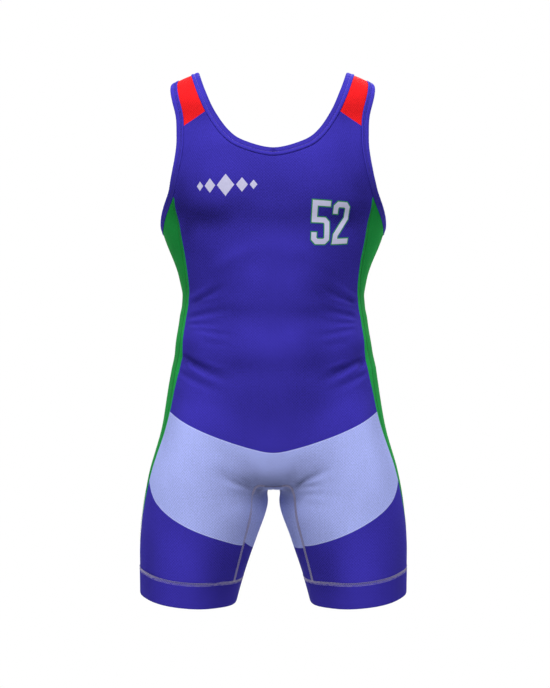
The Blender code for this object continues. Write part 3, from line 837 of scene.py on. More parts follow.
def woven(grid):
    """Where each point lies in the knit: metres from the middle along its row, and its height."""
    steps = np.linalg.norm(np.diff(grid, axis=1), axis=2)
    across = np.concatenate((grid[:, :1, 0], grid[:, :1, 0] + np.cumsum(steps, axis=1)), axis=1)
    return np.stack((across, grid[..., 2]), axis=-1)


def numbered(grid):
    """The numbers of a grid's points, laid out as they are."""
    return np.arange(grid[..., 0].size).reshape(grid.shape[:2])


Sheet = namedtuple("Sheet", "points weave quads")


def sheet_of(grids, signs=(1,)):
    """Grids welded to one sheet, once for each sign that x takes, with all quads facing out."""
    points, weaves, quads, count = [], [], [], 0
    for grid in grids:
        weave = woven(grid)
        for sign in signs:
            points.append((grid * (sign, 1, 1)).reshape(-1, 3))
            weaves.append((weave * (sign, 1)).reshape(-1, 2))
            quads.append(cells(numbered(grid)) + count)
            count += len(points[-1])
    points, weaves, quads = map(np.concatenate, (points, weaves, quads))
    keys = np.round(points / WELD).astype(np.int64)
    _, first, same = np.unique(keys, axis=0, return_index=True, return_inverse=True)
    points, weaves, quads = points[first], weaves[first], same.reshape(-1)[quads]
    a, b, c, d = np.moveaxis(points[quads], 1, 0)
    inwards = (np.cross(c - a, d - b) * outward((a + c) / 2)).sum(-1) < 0
    quads[inwards] = quads[inwards, ::-1]
    return Sheet(points, weaves, quads)


def rim_of(quads, count):
    """The sheet's boundary edges: those that no quad runs along the other way."""
    edges = np.stack((quads, np.roll(quads, -1, axis=1)), axis=-1).reshape(-1, 2)
    code, reverse = edges[:, 0] * count + edges[:, 1], edges[:, 1] * count + edges[:, 0]
    return edges[~np.isin(code, reverse)]


def piece(name, points, quads, finish, weave=None, **spots):
    """A smooth-shaded mesh object that rides on the singlet. Spots are values for each of its points. The
    strap over the wearer's left shoulder lies up to STRAP_NEARER closer to the neck than the other."""
    lean = smooth(points[:, 0], *NEARER_ACROSS) * smooth(points[:, 2], *NEARER_UP)
    points = points - STRAP_NEARER * lean[:, None] * (1, 0, 0)
    mesh = bpy.data.meshes.new(name)
    mesh.from_pydata(points, [], quads)
    if weave is not None:
        corner = np.empty(len(mesh.loops), np.int32)
        mesh.loops.foreach_get("vertex_index", corner)
        mesh.uv_layers.new(name="weave").data.foreach_set("uv", weave[corner].ravel())
    for spot, values in spots.items():
        mesh.attributes.new(spot, "FLOAT", "POINT").data.foreach_set("value", values)
    mesh.shade_smooth()
    mesh.set_sharp_from_angle(angle=SHARP_ANGLE)
    mesh.materials.append(finish)
    made = bpy.data.objects.new(name, mesh)
    scene.collection.objects.link(made)
    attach(made, "root")
    return made


def panel(name, sheet, finish, **spots):
    """One layer of cloth: the sheet laid on the creased form, its inner side, and the rim between. Its
    edges dip into the seams and are painted darker there, as shade in the seams. The inner side has the
    same spot values, but a reverse of 1."""
    count = len(sheet.points)
    rim = rim_of(sheet.quads, count)
    dip = np.zeros(count)
    dip[rim.ravel()] = SEAM_VALLEY
    outer = laid(sheet.points, -dip)
    inner = outer - CLOTH * outward(sheet.points)
    quads = np.concatenate((sheet.quads, sheet.quads[:, ::-1] + count,
                            np.stack((rim[:, 1], rim[:, 0], rim[:, 0] + count, rim[:, 1] + count), axis=1)))
    # The colour follows the relief and TONES, with painted shade and painted light in it.
    spots["raised"] = tone(sheet.points)
    # painted shade along the rim, in the seams
    spots["raised"][rim.ravel()] -= SEAM_SHADE
    spots = {spot: np.tile(values, 2) for spot, values in spots.items()}
    spots["reverse"] = np.repeat((0.0, 1.0), count)
    made = piece(f"{name}_cloth", np.concatenate((outer, inner)), quads, finish,
                 np.tile(sheet.weave, (2, 1)), **spots)
    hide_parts(name)
    return made


def knit(name, ground_colour, inks, open_mesh):
    """Warp knit: fine ribs with stitches along them, faint streaks down the cloth, a soft mottle, a mesh of
    small cells (one sine across times one down, and a noise), and inks, each with a soft edge where its
    spot value passes 0, that fill a fifth of the mesh. The reverse has less dye, and the face is a little
    paler where the points' tone value is higher, by TONE_PER_MM: partly stretch, partly painted light
    and shade."""
    material = bpy.data.materials.new(name)
    material.use_nodes = True
    shader = material.node_tree.nodes["Principled BSDF"]
    cloth = Shade(material.node_tree)
    weave = cloth.node("ShaderNodeUVMap", {"uv_map": "weave"}, {})
    across = weave.node("ShaderNodeSeparateXYZ", {}, {0: weave})
    down = Shade(cloth.tree, across.socket.node.outputs["Y"])

    def wave(along, length):
        """One sine for each length."""
        return along.maths("SINE", along * (2 * pi / length))

    def noise(scale, stretch):
        """Soft noise. The smaller stretch is, the longer its patches run down the cloth."""
        placed = cloth.node("ShaderNodeVectorMath", {"operation": "MULTIPLY"},
                            {0: weave, 1: (1, stretch, 1)})
        return cloth.node("ShaderNodeTexNoise", {}, {"Vector": placed, "Scale": scale, "Detail": 2.0})

    colour = cloth.node("ShaderNodeRGB", {}, {})
    colour.socket.default_value = ground_colour
    mesh = wave(across, MESH_CELL) * wave(down, MESH_CELL)
    mesh = (mesh * 0.4 + (noise(450.0, 0.8) - 0.5) * 1.5) * open_mesh
    for spot, ink in inks.items():
        inside = cloth.node("ShaderNodeAttribute", {"attribute_name": spot}, {}, "Fac")
        inside = (inside / PRINT_SOFTNESS + 0.5).limited()
        mesh = mesh * (1 - inside * PRINT_FILLS)
        colour = cloth.node("ShaderNodeMix", {"data_type": "RGBA"}, {0: inside, 6: colour, 7: ink}, 2)
    back = cloth.node("ShaderNodeAttribute", {"attribute_name": "reverse"}, {}, "Fac").limited()
    colour = cloth.node("ShaderNodeMix", {"data_type": "RGBA"},
                        {0: back * REVERSE_SHARE, 6: colour, 7: REVERSE}, 2)
    streaks = noise(330.0, 0.06)
    mottle = noise(38.0, 0.7)
    raised = cloth.node("ShaderNodeAttribute", {"attribute_name": "raised"}, {}, "Fac")
    shade = 1 + raised * TONE_PER_MM + (streaks - 0.5) * 0.10 + (mottle - 0.5) * 0.12 + mesh
    colour = cloth.node("ShaderNodeVectorMath", {"operation": "SCALE"}, {0: colour, "Scale": shade})
    cloth.tree.links.new(colour.socket, shader.inputs["Base Color"])

    height = wave(across, RIB) * 0.3 + wave(down, COURSE) * 0.12 + streaks * 1.2 + mesh * 3 + mottle * 2.5
    bump = cloth.node("ShaderNodeBump", {}, {"Strength": 0.45, "Distance": 0.00012, "Height": height})
    cloth.tree.links.new(bump.socket, shader.inputs["Normal"])
    roughness = 0.66 + (mottle - 0.5) * 0.16 + (streaks - 0.5) * 0.10
    cloth.tree.links.new(roughness.socket, shader.inputs["Roughness"])
    shader.inputs["Specular IOR Level"].default_value = 0.02
    return material


def distance_to(points, line):
    """The distance from each point to the nearest point of a line."""
    nearest = np.full(len(points), np.inf)
    for point in line:
        np.minimum(nearest, ((points - point) ** 2).sum(-1), out=nearest)
    return np.sqrt(nearest)


def on_left(points):
    """The points, with those of the right half mirrored on to the left."""
    return np.abs(points) * (1, 0, 0) + points * (0, 1, 1)


def tucked(points, *joins):
    """How far into the painted shadow under the bindings each point is: above 0 within TUCK of where
    they join.
    """
    return TUCK - np.min([distance_to(on_left(points), join) for join in joins], axis=0)


def dyed(points):
    """Depth into the pale field and into the red, each above 0 inside and below 0 outside. The field's
    lower edge lies a little askew, by a bell curve on each thigh."""
    x, z = np.abs(points[:, 0]), points[:, 2]
    askew = ASKEW * np.sign(points[:, 0]) * bell(x, ASKEW_AT, ASKEW_HALF)
    pale = np.minimum(read(PALE_FIELD, "upper", x) - z, z + askew - read(PALE_FIELD, "lower", x))
    slant = (RED_END.z - RED_START.z) / (RED_END.x - RED_START.x)
    return pale, z - RED_START.z - slant * (x - RED_START.x)


# The lines that the pieces share: the neckline and the armhole, where each binding joins, and the seams.
half_neck = np.array(NECK)
neck_cut = curve(np.concatenate((half_neck, half_neck[-2:0:-1] * (-1, 1, 1))), closed=True)[:-1]
neck_join = beside(neck_cut, BINDING_WIDTH)
across_neck = ACROSS_HALF - ACROSS_STRAP
neck_edges = stretches(neck_join, NECK_TURNS, (across_neck, DOWN_STRAP, DOWN_STRAP, across_neck))
arm_cut = curve(ARMHOLE, closed=True)[:-1]
arm_join = beside(arm_cut, BINDING_WIDTH)
arm_edges = stretches(np.concatenate((arm_join, arm_join[:1])), ARMHOLE_TURNS,
                      (DOWN_STRAP, DOWN_YOKE, ACROSS_SIDE, DOWN_YOKE, DOWN_STRAP))
arm_under = arm_edges[2]
shoulder = spaced(curve((neck_edges[2][0], arm_edges[0][0])), ACROSS_STRAP)
side_edges = []
for top, points, turn in ((arm_under[0], SIDE_FRONT, SIDE_FRONT_TURN),
                          (arm_under[-1], SIDE_BACK, SIDE_BACK_TURN)):
    foot = leg_ring(BAND_LEVEL, turn, turn, 1)[0]
    seam = curve((top, *points, foot))
    hip_at = len(points) * SPAN_STEPS
    side_edges.append((spaced(seam[:hip_at + 1], DOWN_TRUNK), spaced(seam[hip_at:], DOWN_LEG)))
side_seams = [np.concatenate((upper, lower[1:])) for upper, lower in side_edges]

front_grids, inseam_front = body_panel(
    neck_edges[:2], arm_edges[:2], shoulder, CHEST_FRONT, CENTRE_FRONT, side_edges[0],
    CROTCH_FRONT, INSEAM_FRONT, THIGH_FRONT, (INSEAM_FRONT_TURN, SIDE_FRONT_TURN))
front_sheet = sheet_of(front_grids, (1, -1))
pale, red = dyed(front_sheet.points)
# The last ink is the painted shadow beside the bindings.
inks = {"pale": PALE_EDGE, "field": PALE_BLUE, "red": RED, "green": BRIGHT_GREEN, "tuck": SHADOW}
printed_knit = knit("printed royal blue knit", ROYAL, inks, OPEN_MESH)
green = (read(GREEN_EDGING, "width", 1000 * front_sheet.points[:, 2]) / 1000
         - distance_to(on_left(front_sheet.points), side_seams[0]))
front = panel("front", front_sheet, printed_knit, pale=pale, field=pale - PALE_EDGE_WIDTH, red=red,
              green=green, tuck=tucked(front_sheet.points, arm_join, neck_join))


# ---- Back panel ------------------------------------------------------------------------------------
# The same knit and the same print, cut a little fuller over the seat. It meets the front at the
# shoulders and at the crotch, and the green panels at the sides.

CHEST_BACK = ((0.000, 0.108, -0.226), (0.080, 0.104, -0.226))
CENTRE_BACK = ((0, 0.088, -0.370), (0, 0.105, -0.500), (0, 0.114, -0.610))
CROTCH_BACK = ((0.000, 0.082, -0.662), (0.0290, 0.085, -0.661))
INSEAM_BACK = ((0.0320, 0.077, -0.690), (0.0425, 0.069, -0.742))
THIGH_BACK = ((0.105, 0.112, -0.675),)

neck_behind, arm_behind = [[line[::-1] for line in lines[:-3:-1]] for lines in (neck_edges, arm_edges)]
back_grids, inseam_back = body_panel(
    neck_behind, arm_behind, shoulder, CHEST_BACK, CENTRE_BACK, side_edges[1],
    CROTCH_BACK, INSEAM_BACK, THIGH_BACK, (INSEAM_BACK_TURN, SIDE_BACK_TURN))
back_sheet = sheet_of(back_grids, (1, -1))
pale, red = dyed(back_sheet.points)
back = panel("back", back_sheet, printed_knit, pale=pale, field=pale - PALE_EDGE_WIDTH, red=red,
             green=np.full(len(pale), -1.0), tuck=tucked(back_sheet.points, arm_join, neck_join))


# ---- Side panels -----------------------------------------------------------------------------------
# A green panel from under each arm down to the leg band, of the same knit dyed in one colour.

SIDES = {"left": 1, "right": -1}    # the sign of x there

# Its one ink is the painted shadow beside the armhole bindings.
green_knit = knit("green knit", GREEN, {"tuck": SHADOW}, open_mesh=0.24)
band_side = leg_ring(BAND_LEVEL, SIDE_FRONT_TURN, SIDE_BACK_TURN, ACROSS_SIDE)
side_grid = patch(arm_under, band_side, *side_seams)
side_panels = []
for side, sign in SIDES.items():
    side_sheet = sheet_of([side_grid], (sign,))
    side_panels.append(panel(f"side_panel_{side}", side_sheet, green_knit,
                             tuck=tucked(side_sheet.points, arm_join)))


# ---- Inner leg panels ------------------------------------------------------------------------------
# A narrow pale blue panel up the inside of each thigh. The two are sewn together under the crotch, and
# the royal blue of the thighs runs round them at the bottom.

PrintEdge = namedtuple("PrintEdge", "height slope")
INNER_PRINT = {"left": PrintEdge(-0.7660, 0.32), "right": PrintEdge(-0.7553, 1.13)}
INNER_PRINT_FROM = 0.0460      # from the middle to where that height is. The edge falls inwards.

under = spaced(curve((inseam_front[0], (0, 0, CROTCH), inseam_back[0])), ACROSS_INNER)
band_inner = leg_ring(BAND_LEVEL, INSEAM_FRONT_TURN, INSEAM_BACK_TURN - 360, ACROSS_INNER)
inner_grid = patch(under, band_inner, inseam_front, inseam_back)
inner_knit = knit("inner leg knit", ROYAL, {"pale": PALE_BLUE}, OPEN_MESH)
inner_legs = []
for side, sign in SIDES.items():
    inner_sheet = sheet_of([inner_grid], (sign,))
    inwards = INNER_PRINT_FROM - np.abs(inner_sheet.points[:, 0])
    lower = INNER_PRINT[side].height - INNER_PRINT[side].slope * inwards
    inner_legs.append(panel(f"inner_leg_{side}", inner_sheet, inner_knit,
                            pale=inner_sheet.points[:, 2] - lower))


# ---- Leg bands -------------------------------------------------------------------------------------
# A doubled band of royal blue knit, folded at the hem and stretched round each thigh. Its outside follows
# the cloth above it, and its inside is turned up to the seam.

BAND_HEIGHT = 0.0403
BAND_STATIONS = 200
GATHERS = 0.00012              # how far the stretched band ripples
# From the seam down the outside, round the hem and up the inside: the share of the band's height, and
# millimetres above the form.
BandRow = namedtuple("BandRow", "share height")
BAND_PROFILE = [BandRow(*row) for row in (
    (0.004, -1.4), (0.004, -0.2), (0.015, 0.3), (0.06, 0.4), (0.14, 0.3), (0.22, 0.3), (0.3, 0.3),
    (0.38, 0.3), (0.46, 0.3), (0.54, 0.3), (0.62, 0.3), (0.7, 0.3), (0.78, 0.4), (0.86, 0.4),
    (0.93, 0.4), (0.972, 0.3), (0.992, 0), (1, -0.7), (0.992, -1.4), (0.965, -1.7), (0.8, -1.7),
    (0.6, -1.7), (0.4, -1.7), (0.2, -1.7), (0.05, -1.7),
)]


def swept(grid):
    """Quads of a closed tube: a grid whose rows and whose columns both run round to their start."""
    return cells(np.pad(numbered(grid), ((0, 1), (0, 1)), mode="wrap"))


band_form = np.stack([leg_ring(BAND_LEVEL - BAND_HEIGHT * row.share, 0, 360, BAND_STATIONS)[:-1]
                      for row in BAND_PROFILE])
band_heights = np.array([row.height for row in BAND_PROFILE])[:, None] / 1000
station = np.linspace(0, 2 * pi, BAND_STATIONS, endpoint=False)
gathers = GATHERS * np.sin(41 * station) * np.sin(7 * station + 1)
band_grid = laid(band_form, band_heights + gathers)
band_length = lengths_along(band_form[0])[-1]
band_weave = np.stack(np.broadcast_arrays(station / (2 * pi) * band_length, band_form[..., 2]), axis=-1)
band_knit = knit("leg band knit", paint(53, 45, 152), {}, OPEN_MESH)
bands = []
for side, sign in SIDES.items():
    points = band_grid.reshape(-1, 3) * (sign, 1, 1)
    band = piece(f"leg_band_{side}_cloth", points, swept(band_grid)[:, ::sign], band_knit,
                 band_weave.reshape(-1, 2), reverse=np.zeros(len(points)),
                 raised=tone(band_form.reshape(-1, 3) * (sign, 1, 1)))
    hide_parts(f"leg_band_{side}")
    bands.append(band)


# ---- Neck and armhole bindings ---------------------------------------------------------------------
# Strips of the same knit folded over the cut edges, round at the fold and turned under where they meet
# the panel, sewn through with rows of lockstitch that draw them in a little.

PUCKERS = 0.00010              # how far the sewing ripples the binding
FOLD = 0.0042, 0.0010          # where the fold's painted shade starts and is whole, from the cut edge
MITRE_SLOPE = 0.8              # half of the mitre's width, as a share of how far it is from the cut edge
MITRE_SOFTNESS = 0.0008
MITRE_DEPTH = 0.0080
# Where the binding's colour has painted light on top of the strap and painted shade under the arm:
STRAP_TOP = -0.040, 0.026      # the middle and half of a bell curve, by height
UNDER_ARM = -0.206, 0.038
STRAP_TOP_TONE = 2             # these three are in millimetres raised
MITRE_TONE = -6
UNDER_ARM_TONE = -9
# Millimetres from the join towards the cut edge, and above the form.
BindingRow = namedtuple("BindingRow", "across height")
NECK_PROFILE = [BindingRow(*row) for row in (
    (0.2, -1.5), (0.2, -0.5), (-0.7, -0.15), (-0.85, 0.35), (-0.4, 1.05), (0.5, 1.5), (1.8, 1.6),
    (3.1, 1.3), (4, 0.9), (4.6, 0.5), (5.2, 0.85), (6.6, 1.25), (8.6, 1.4), (10.6, 1.15), (11.9, 0.45),
    (12.5, -0.5), (12.1, -1.35), (11, -1.8), (8, -1.9), (4.6, -1.85), (1.5, -1.8),
)]
ARM_PROFILE = [BindingRow(*row) for row in (
    (0.2, -1.5), (0.2, -0.5), (-0.7, -0.15), (-0.85, 0.35), (-0.4, 0.9), (0.5, 1.25), (1.4, 1.15),
    (2.2, 0.6), (2.9, 1.1), (3.8, 1.15), (4.6, 0.6), (5.4, 1.15), (7.4, 1.4), (9.4, 1.3), (11, 0.95),
    (12.1, 0.25), (12.5, -0.6), (12.1, -1.35), (11, -1.8), (8, -1.9), (4.6, -1.85), (1.5, -1.8),
)]


def binding(name, cut, join, profile, fold_tone, sign=1):
    """A closed profile carried along the cut edge. Each of its points lies between the join and the cut,
    dropped on to the form and lifted by its height, with faint puckers. In front its colour is paler on top
    of the strap, as painted light, and deeper towards the fold and under the arm, as painted shade, and
    deeper in the neck's mitre, which widens from the cut edge."""
    share = np.array([row.across for row in profile])[:, None, None] / 1000 / BINDING_WIDTH
    base = onto_form(join + share * (cut - join))
    along = np.linspace(0, 1, len(cut), endpoint=False)
    puckers = PUCKERS * np.sin(2 * pi * 71 * along) * np.sin(2 * pi * 9 * along + 2)
    grid = laid(base, np.array([row.height for row in profile])[:, None] / 1000 + puckers)
    in_knit = share[..., 0] * BINDING_WIDTH, along * lengths_along(cut)[-1]
    weave = np.stack(np.broadcast_arrays(*in_knit), axis=-1)
    x, y, z = np.moveaxis(grid, -1, 0)
    from_cut = (1 - share[..., 0]) * BINDING_WIDTH
    inside = MITRE_SLOPE * from_cut - np.abs(x)
    mitre = smooth(inside, -MITRE_SOFTNESS, MITRE_SOFTNESS) * (from_cut < MITRE_DEPTH)
    raised = MITRE_TONE * mitre + fold_tone * smooth(from_cut, *FOLD)
    raised = raised + STRAP_TOP_TONE * bell(z, *STRAP_TOP) + UNDER_ARM_TONE * bell(z, *UNDER_ARM)
    raised = raised * (y < 0)
    made = piece(f"{name}_cloth", grid.reshape(-1, 3) * (sign, 1, 1), swept(grid)[:, ::-sign], binding_knit,
                 weave.reshape(-1, 2), reverse=np.zeros(raised.size), raised=raised.ravel())
    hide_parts(name)
    return made


binding_knit = knit("binding knit", paint(63, 54, 177), {}, open_mesh=0.16)
neck_binding = binding("neck_binding", neck_cut, neck_join, NECK_PROFILE, -5.0)
arm_bindings = []
for side, sign in SIDES.items():
    arm_bindings.append(binding(f"armhole_binding_{side}", arm_cut, arm_join, ARM_PROFILE, -1.5, sign))


# ---- Stitching -------------------------------------------------------------------------------------
# Grey coverstitch along the inseams and above the leg bands: two rows of needle thread, with a looper
# thread crossing between them. Single rows run along the side seams, the crotch and the bindings.

THREAD = 0.00030               # radius
INSEAM_THREAD = 0.0004
CROTCH_THREAD = 0.0005
SIDE_THREAD = 0.00022
NECK_THREAD = 0.00028
ARM_THREAD = 0.00034
LOOPER = 0.85                  # the looper thread's radius beside the needle's
STITCH_PITCH = 0.0027
SIDE_PITCH = 0.0022
LOCKSTITCH_PITCH = 0.0024
NECK_ROWS = 4.6,               # millimetres from the join, where the binding's profile has its grooves
ARM_ROWS = 2.2, 4.6
THREAD_ENDS = 0.35             # a thread's end rings beside the others
STITCH_ARCH = -1.2, 0.5, 0.9, 0.5, -1.2    # how a stitch rises and dives, in its radii
NEEDLE_LIFT = 0.00015          # how far off the cloth the rows and the thread between them are
LOOPER_LIFT = 0.00010
NEAR_CORNER = -5, -2, 2, 8     # the inseam's points round its corner that its stitching follows


def grained(name, colour, scale, darkest, spread, roughness, bump=0.0):
    """One colour, from darkest of it to darkest + spread by a fine noise, which can be its bump too."""
    material = bpy.data.materials.new(name)
    material.use_nodes = True
    shader = material.node_tree.nodes["Principled BSDF"]
    stuff = Shade(material.node_tree)
    where = stuff.node("ShaderNodeTexCoord", {}, {}, "Object")
    grain = stuff.node("ShaderNodeTexNoise", {}, {"Vector": where, "Scale": scale, "Detail": 2.0})
    tint = stuff.node("ShaderNodeVectorMath", {"operation": "SCALE"},
                      {0: colour[:3], "Scale": darkest + spread * grain})
    stuff.tree.links.new(tint.socket, shader.inputs["Base Color"])
    if bump:
        rough = stuff.node("ShaderNodeBump", {}, {"Strength": bump, "Distance": 0.0001, "Height": grain})
        stuff.tree.links.new(rough.socket, shader.inputs["Normal"])
    shader.inputs["Roughness"].default_value = roughness
    shader.inputs["Specular IOR Level"].default_value = 0.3
    return material


def thread_finish(name, colour):
    """Spun polyester thread, with faint light and dark along it."""
    return grained(name, colour, scale=900.0, darkest=0.75, spread=0.5, roughness=0.6)


def strand(path, normals, radius, sides=6):
    """Round tubes along paths: the last axes of path are its points, and any before them its strands.
    Each ring is the path's point plus a circle across its direction, and the end rings are small."""
    along = unit(np.gradient(path, axis=-2))
    across = unit(np.cross(along, normals))
    up = np.cross(across, along)
    turn = np.linspace(0, 2 * pi, sides, endpoint=False)[:, None]
    swell = np.ones(path.shape[-2])
    swell[[0, -1]] = THREAD_ENDS
    ring = across[..., None, :] * np.cos(turn) + up[..., None, :] * np.sin(turn)
    tubes = path[..., None, :] + radius * swell[:, None, None] * ring
    count = path.shape[-2]
    index = np.arange(count * sides).reshape(count, sides)
    beyond = np.roll(index, -1, axis=1)
    wall = np.stack((index[:-1], index[1:], beyond[1:], beyond[:-1]), axis=-1).reshape(-1, 4)
    caps = np.array([[0, 1, 2, 3], [0, 3, 4, 5]])
    caps = np.concatenate((caps, (count - 1) * sides + caps[:, ::-1]))
    faces = np.concatenate((wall, caps))
    strands = int(np.prod(path.shape[:-2], dtype=int))
    faces = (faces + count * sides * np.arange(strands)[:, None, None]).reshape(-1, 4)
    return tubes.reshape(-1, 3), faces


def run_of_stitches(line, height, pitch=STITCH_PITCH, radius=THREAD, fill=0.80):
    """Short stitches end to end along a line on the form, each a small arc that dives into the cloth. It
    fills its share of the pitch."""
    count = max(int(lengths_along(line)[-1] / pitch), 1)
    in_stitch = np.linspace(-0.5, 0.5, len(STITCH_ARCH))
    t = (np.arange(count)[:, None] + 0.5 + fill * in_stitch) / count
    path = between(t, shares(line), line)
    return strand(laid(path, height + radius * np.array(STITCH_ARCH)), outward(path), radius)


def crossing_thread(left, right, height, radius):
    """One thread that goes to and fro between two lines on the form."""
    count = max(int(lengths_along(left)[-1] / STITCH_PITCH) * 2, 4)
    turns = np.arange(count + 1)
    ends = [between(turns / count, shares(line), line) for line in (left, right)]
    path = np.where((turns % 2 == 0)[:, None], *ends)
    path = onto_form(between(np.linspace(0, count, 3 * count + 1), turns, path))
    return strand(laid(path, height), outward(path), radius)


def sewn(name, runs, finish, both=True):
    """Runs of thread joined into one piece, on both sides of the singlet if asked."""
    points, quads, count = [], [], 0
    for run_points, run_quads in runs:
        for sign in ((1, -1) if both else (1,)):
            points.append(run_points * (sign, 1, 1))
            quads.append(run_quads[:, ::sign] + count)
            count += len(run_points)
    return piece(name, np.concatenate(points), np.concatenate(quads), finish)


grey_thread = thread_finish("grey thread", paint(158, 152, 182))
green_thread = thread_finish("grey-green thread", paint(38, 104, 58))
blue_thread = thread_finish("blue thread", paint(122, 106, 190))
dark_thread = thread_finish("dark blue thread", paint(38, 31, 96))
brown_thread = thread_finish("brown-grey thread", paint(105, 98, 118))


def coverstitch(line, half_width, radius):
    """Two rows of stitches beside a seam, and the looper thread between them."""
    left, right = [beside(line, width, closed=False) for width in (half_width, -half_width)]
    looper = LOOPER * radius
    rows = [run_of_stitches(row, NEEDLE_LIFT, radius=radius) for row in (left, right)]
    return rows + [crossing_thread(left, right, LOOPER_LIFT + 0.4 * looper, looper)]


band_runs = coverstitch(leg_ring(BAND_LEVEL, 0, 360, 240), half_width=0.0025, radius=THREAD)
band_stitching = sewn("band_coverstitch", band_runs, grey_thread)


def rounded(seam, every=10):
    """The inseam drawn again through some of its points, which rounds its corner below the crotch."""
    corner = ACROSS_CROTCH + np.array(NEAR_CORNER)
    return curve(np.concatenate((seam[corner], seam[corner[-1] + every::every], seam[-1:])))


def bound_rows(cut, join, rows, height, radius):
    """Rows of lockstitch along a binding, each so many millimetres from where it joins."""
    lines = [onto_form(join + row / 1000 / BINDING_WIDTH * (cut - join)) for row in rows]
    return [run_of_stitches(line, height, LOCKSTITCH_PITCH, radius) for line in lines]


inseam_runs = []
for seam in (inseam_front, inseam_back):
    inseam_runs += coverstitch(rounded(seam), half_width=0.0020, radius=INSEAM_THREAD)
inseam_stitching = sewn("inseam_coverstitch", inseam_runs, grey_thread)
crotch_runs = [run_of_stitches(seam[:ACROSS_CROTCH - 2], 0.0001, radius=CROTCH_THREAD)
               for seam in (inseam_front, inseam_back)]
crotch_stitching = sewn("crotch_stitching", crotch_runs, brown_thread)
side_runs = [run_of_stitches(seam, -0.0002, SIDE_PITCH, SIDE_THREAD, 0.9) for seam in side_seams]
side_stitching = sewn("side_seam_stitching", side_runs, green_thread)
neck_runs = bound_rows(neck_cut, neck_join, NECK_ROWS, 0.00060, NECK_THREAD)
neck_stitching = sewn("neck_stitching", neck_runs, blue_thread, both=False)
arm_runs = bound_rows(arm_cut, arm_join, ARM_ROWS, 0.00065, ARM_THREAD)
arm_stitching = sewn("armhole_stitching", arm_runs, dark_thread)


# ---- Number and badge ------------------------------------------------------------------------------
# A plain two-figure number with a green outline high on the wearer's left, and a row of plain diamonds
# opposite it. Both are thin heat-pressed transfers that lie on the knit.

FIGURE_WIDTH = 0.0300
FIGURE_HEIGHT = 0.0690
STROKE = 0.0084
CHAMFER = 0.0042
OUTLINE = 0.0017
NUMBER_PLACE = Point(0.0590, -0.11, -0.2855)    # the lower corner nearest the middle
NUMBER_TILT = radians(-2.0)
FIGURE_STEP = 0.0358
INK = 0.00012                  # how thick a transfer is
INK_LIFT = 0.00006             # and how far off the knit

# Each figure is a path down the middle of its stroke, from heights that are shares of its own.
half, w, h, c = STROKE / 2, FIGURE_WIDTH, FIGURE_HEIGHT, CHAMFER
bar, five_hook, two_hook, two_bend = 0.56 * h, 0.27 * h, 0.72 * h, 0.62 * h
FIVE = ((w, h - half), (half, h - half), (half, bar), (w - half - c, bar), (w - half, bar - c),
        (w - half, half + c), (w - half - c, half), (half + c, half), (half, half + c), (half, five_hook))
TWO = ((half, two_hook), (half, h - half - c), (half + c, h - half), (w - half - c, h - half),
       (w - half, h - half - c), (w - half, two_bend), (half + 0.001, half + 0.010), (half, half),
       (w, half))


def ribbon(path, width, extra=0.0, step=0.0012, lanes=6):
    """A strip along a bent path with mitred corners, as a grid of flat points. Extra lengthens its ends."""
    path = np.array(path)
    first, last = path[0] - path[1], path[-1] - path[-2]
    path[0] += extra * first / np.hypot(*first)
    path[-1] += extra * last / np.hypot(*last)
    along = unit(np.diff(path, axis=0))
    before, after = np.concatenate((along[:1], along)), np.concatenate((along, along[-1:]))
    mitre = unit(before + after)
    side = np.stack((-mitre[:, 1], mitre[:, 0]), axis=1)
    side /= (side * np.stack((-before[:, 1], before[:, 0]), axis=1)).sum(1, keepdims=True)
    steps = np.maximum(np.round(np.linalg.norm(np.diff(path, axis=0), axis=1) / step), 1).astype(int)
    t = np.concatenate([k + np.arange(n) / n for k, n in enumerate(steps)] + [[len(steps)]])
    knots = np.arange(len(path))
    lane = np.linspace(-0.5, 0.5, lanes + 1)[None, :, None]
    return between(t, knots, path)[:, None] + lane * width * between(t, knots, side)[:, None]


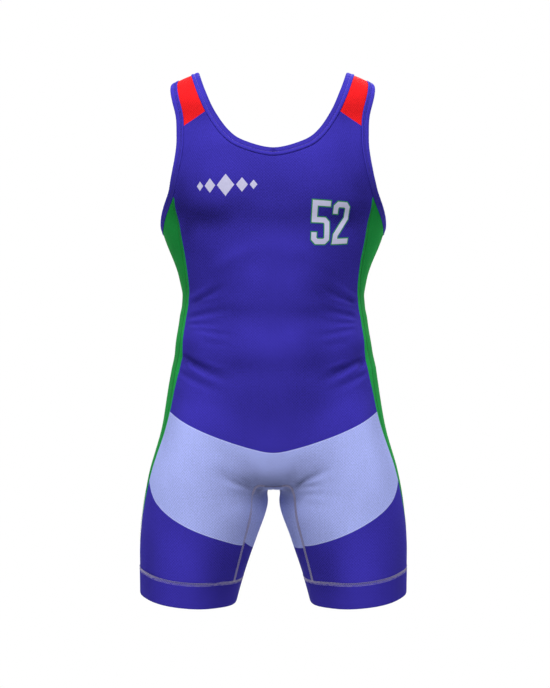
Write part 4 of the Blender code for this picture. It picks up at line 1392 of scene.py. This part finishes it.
def transfer(name, grids, place, tilt, finish, height=INK_LIFT):
    """Flat grids pressed on to the chest: turned, dropped on to the form, and given their thin wall."""
    points, quads, count = [], [], 0
    for flat in grids:
        x = place.x + flat[..., 0] * np.cos(tilt) - flat[..., 1] * np.sin(tilt)
        z = place.z + flat[..., 0] * np.sin(tilt) + flat[..., 1] * np.cos(tilt)
        base = onto_form(np.stack((x, np.full_like(x, place.y), z), axis=-1)).reshape(-1, 3)
        face = cells(numbered(flat))
        a, b, d = base[face[:, 0]], base[face[:, 1]], base[face[:, 3]]
        if (np.cross(b - a, d - a) * outward(a)).sum(-1).mean() < 0:
            face = face[:, ::-1]
        rim = rim_of(face, x.size)
        wall = np.stack((rim[:, 1], rim[:, 0], rim[:, 0] + x.size, rim[:, 1] + x.size), axis=1)
        points += [laid(base, height + INK), laid(base, height)]
        quads.append(np.concatenate((face, face[:, ::-1] + x.size, wall)) + count)
        count += 2 * x.size
    return piece(name, np.concatenate(points), np.concatenate(quads), finish)


def ink(name, colour):
    """Matt transfer ink: nearly even, with the knit just showing through it."""
    return grained(name, colour, scale=420.0, darkest=0.92, spread=0.16, roughness=0.5, bump=0.3)


white_ink = ink("white ink", paint(192, 190, 220))
green_ink = ink("green ink", paint(28, 124, 62))
figures = [np.array(figure) + (FIGURE_STEP * at, 0) for at, figure in enumerate((FIVE, TWO))]
outlines = [ribbon(figure, STROKE + 2 * OUTLINE, OUTLINE) for figure in figures]
number_outline = transfer("number_outline", outlines, NUMBER_PLACE, NUMBER_TILT, green_ink)
strokes = [ribbon(figure, STROKE) for figure in figures]
number = transfer("number", strokes, NUMBER_PLACE, NUMBER_TILT, white_ink, INK_LIFT + INK)

BADGE_PLACE = Point(-0.0745, -0.11, -0.1930)
Diamond = namedtuple("Diamond", "across size")
DIAMONDS = [Diamond(*row) for row in ((-0.0440, 0.0060), (-0.0260, 0.0092), (0.0, 0.0140),
                                      (0.0260, 0.0092), (0.0440, 0.0060))]
DIAMOND_HEIGHT = 1.25          # beside its width
u, v = np.meshgrid(np.linspace(-1, 1, 15), np.linspace(-1, 1, 15))
turned = np.stack((u - v, DIAMOND_HEIGHT * (u + v)), axis=-1) / 2
badge_grids = [turned * diamond.size + (diamond.across, 0) for diamond in DIAMONDS]
badge = transfer("badge", badge_grids, BADGE_PLACE, 0.0, white_ink)


# ---- Cloth facts -----------------------------------------------------------------------------------
# Each panel is cut a tenth smaller than it lies, because the knit is worn stretched. Here only the
# area of each piece's faces is read, and nothing is done with it.


def cut_from(made):
    """Read the area of each of a piece's faces. Nothing more is done with them."""
    faces = made.data.polygons
    area = np.empty(len(faces))
    faces.foreach_get("area", area)


cut_from(front)
cut_from(back)
for made in side_panels:
    cut_from(made)
for made in inner_legs:
    cut_from(made)
for made, sewn_on in zip(bands, ([band_stitching], [])):
    cut_from(made)
cut_from(neck_binding)
for made, sewn_on in zip(arm_bindings, ([arm_stitching], [])):
    cut_from(made)
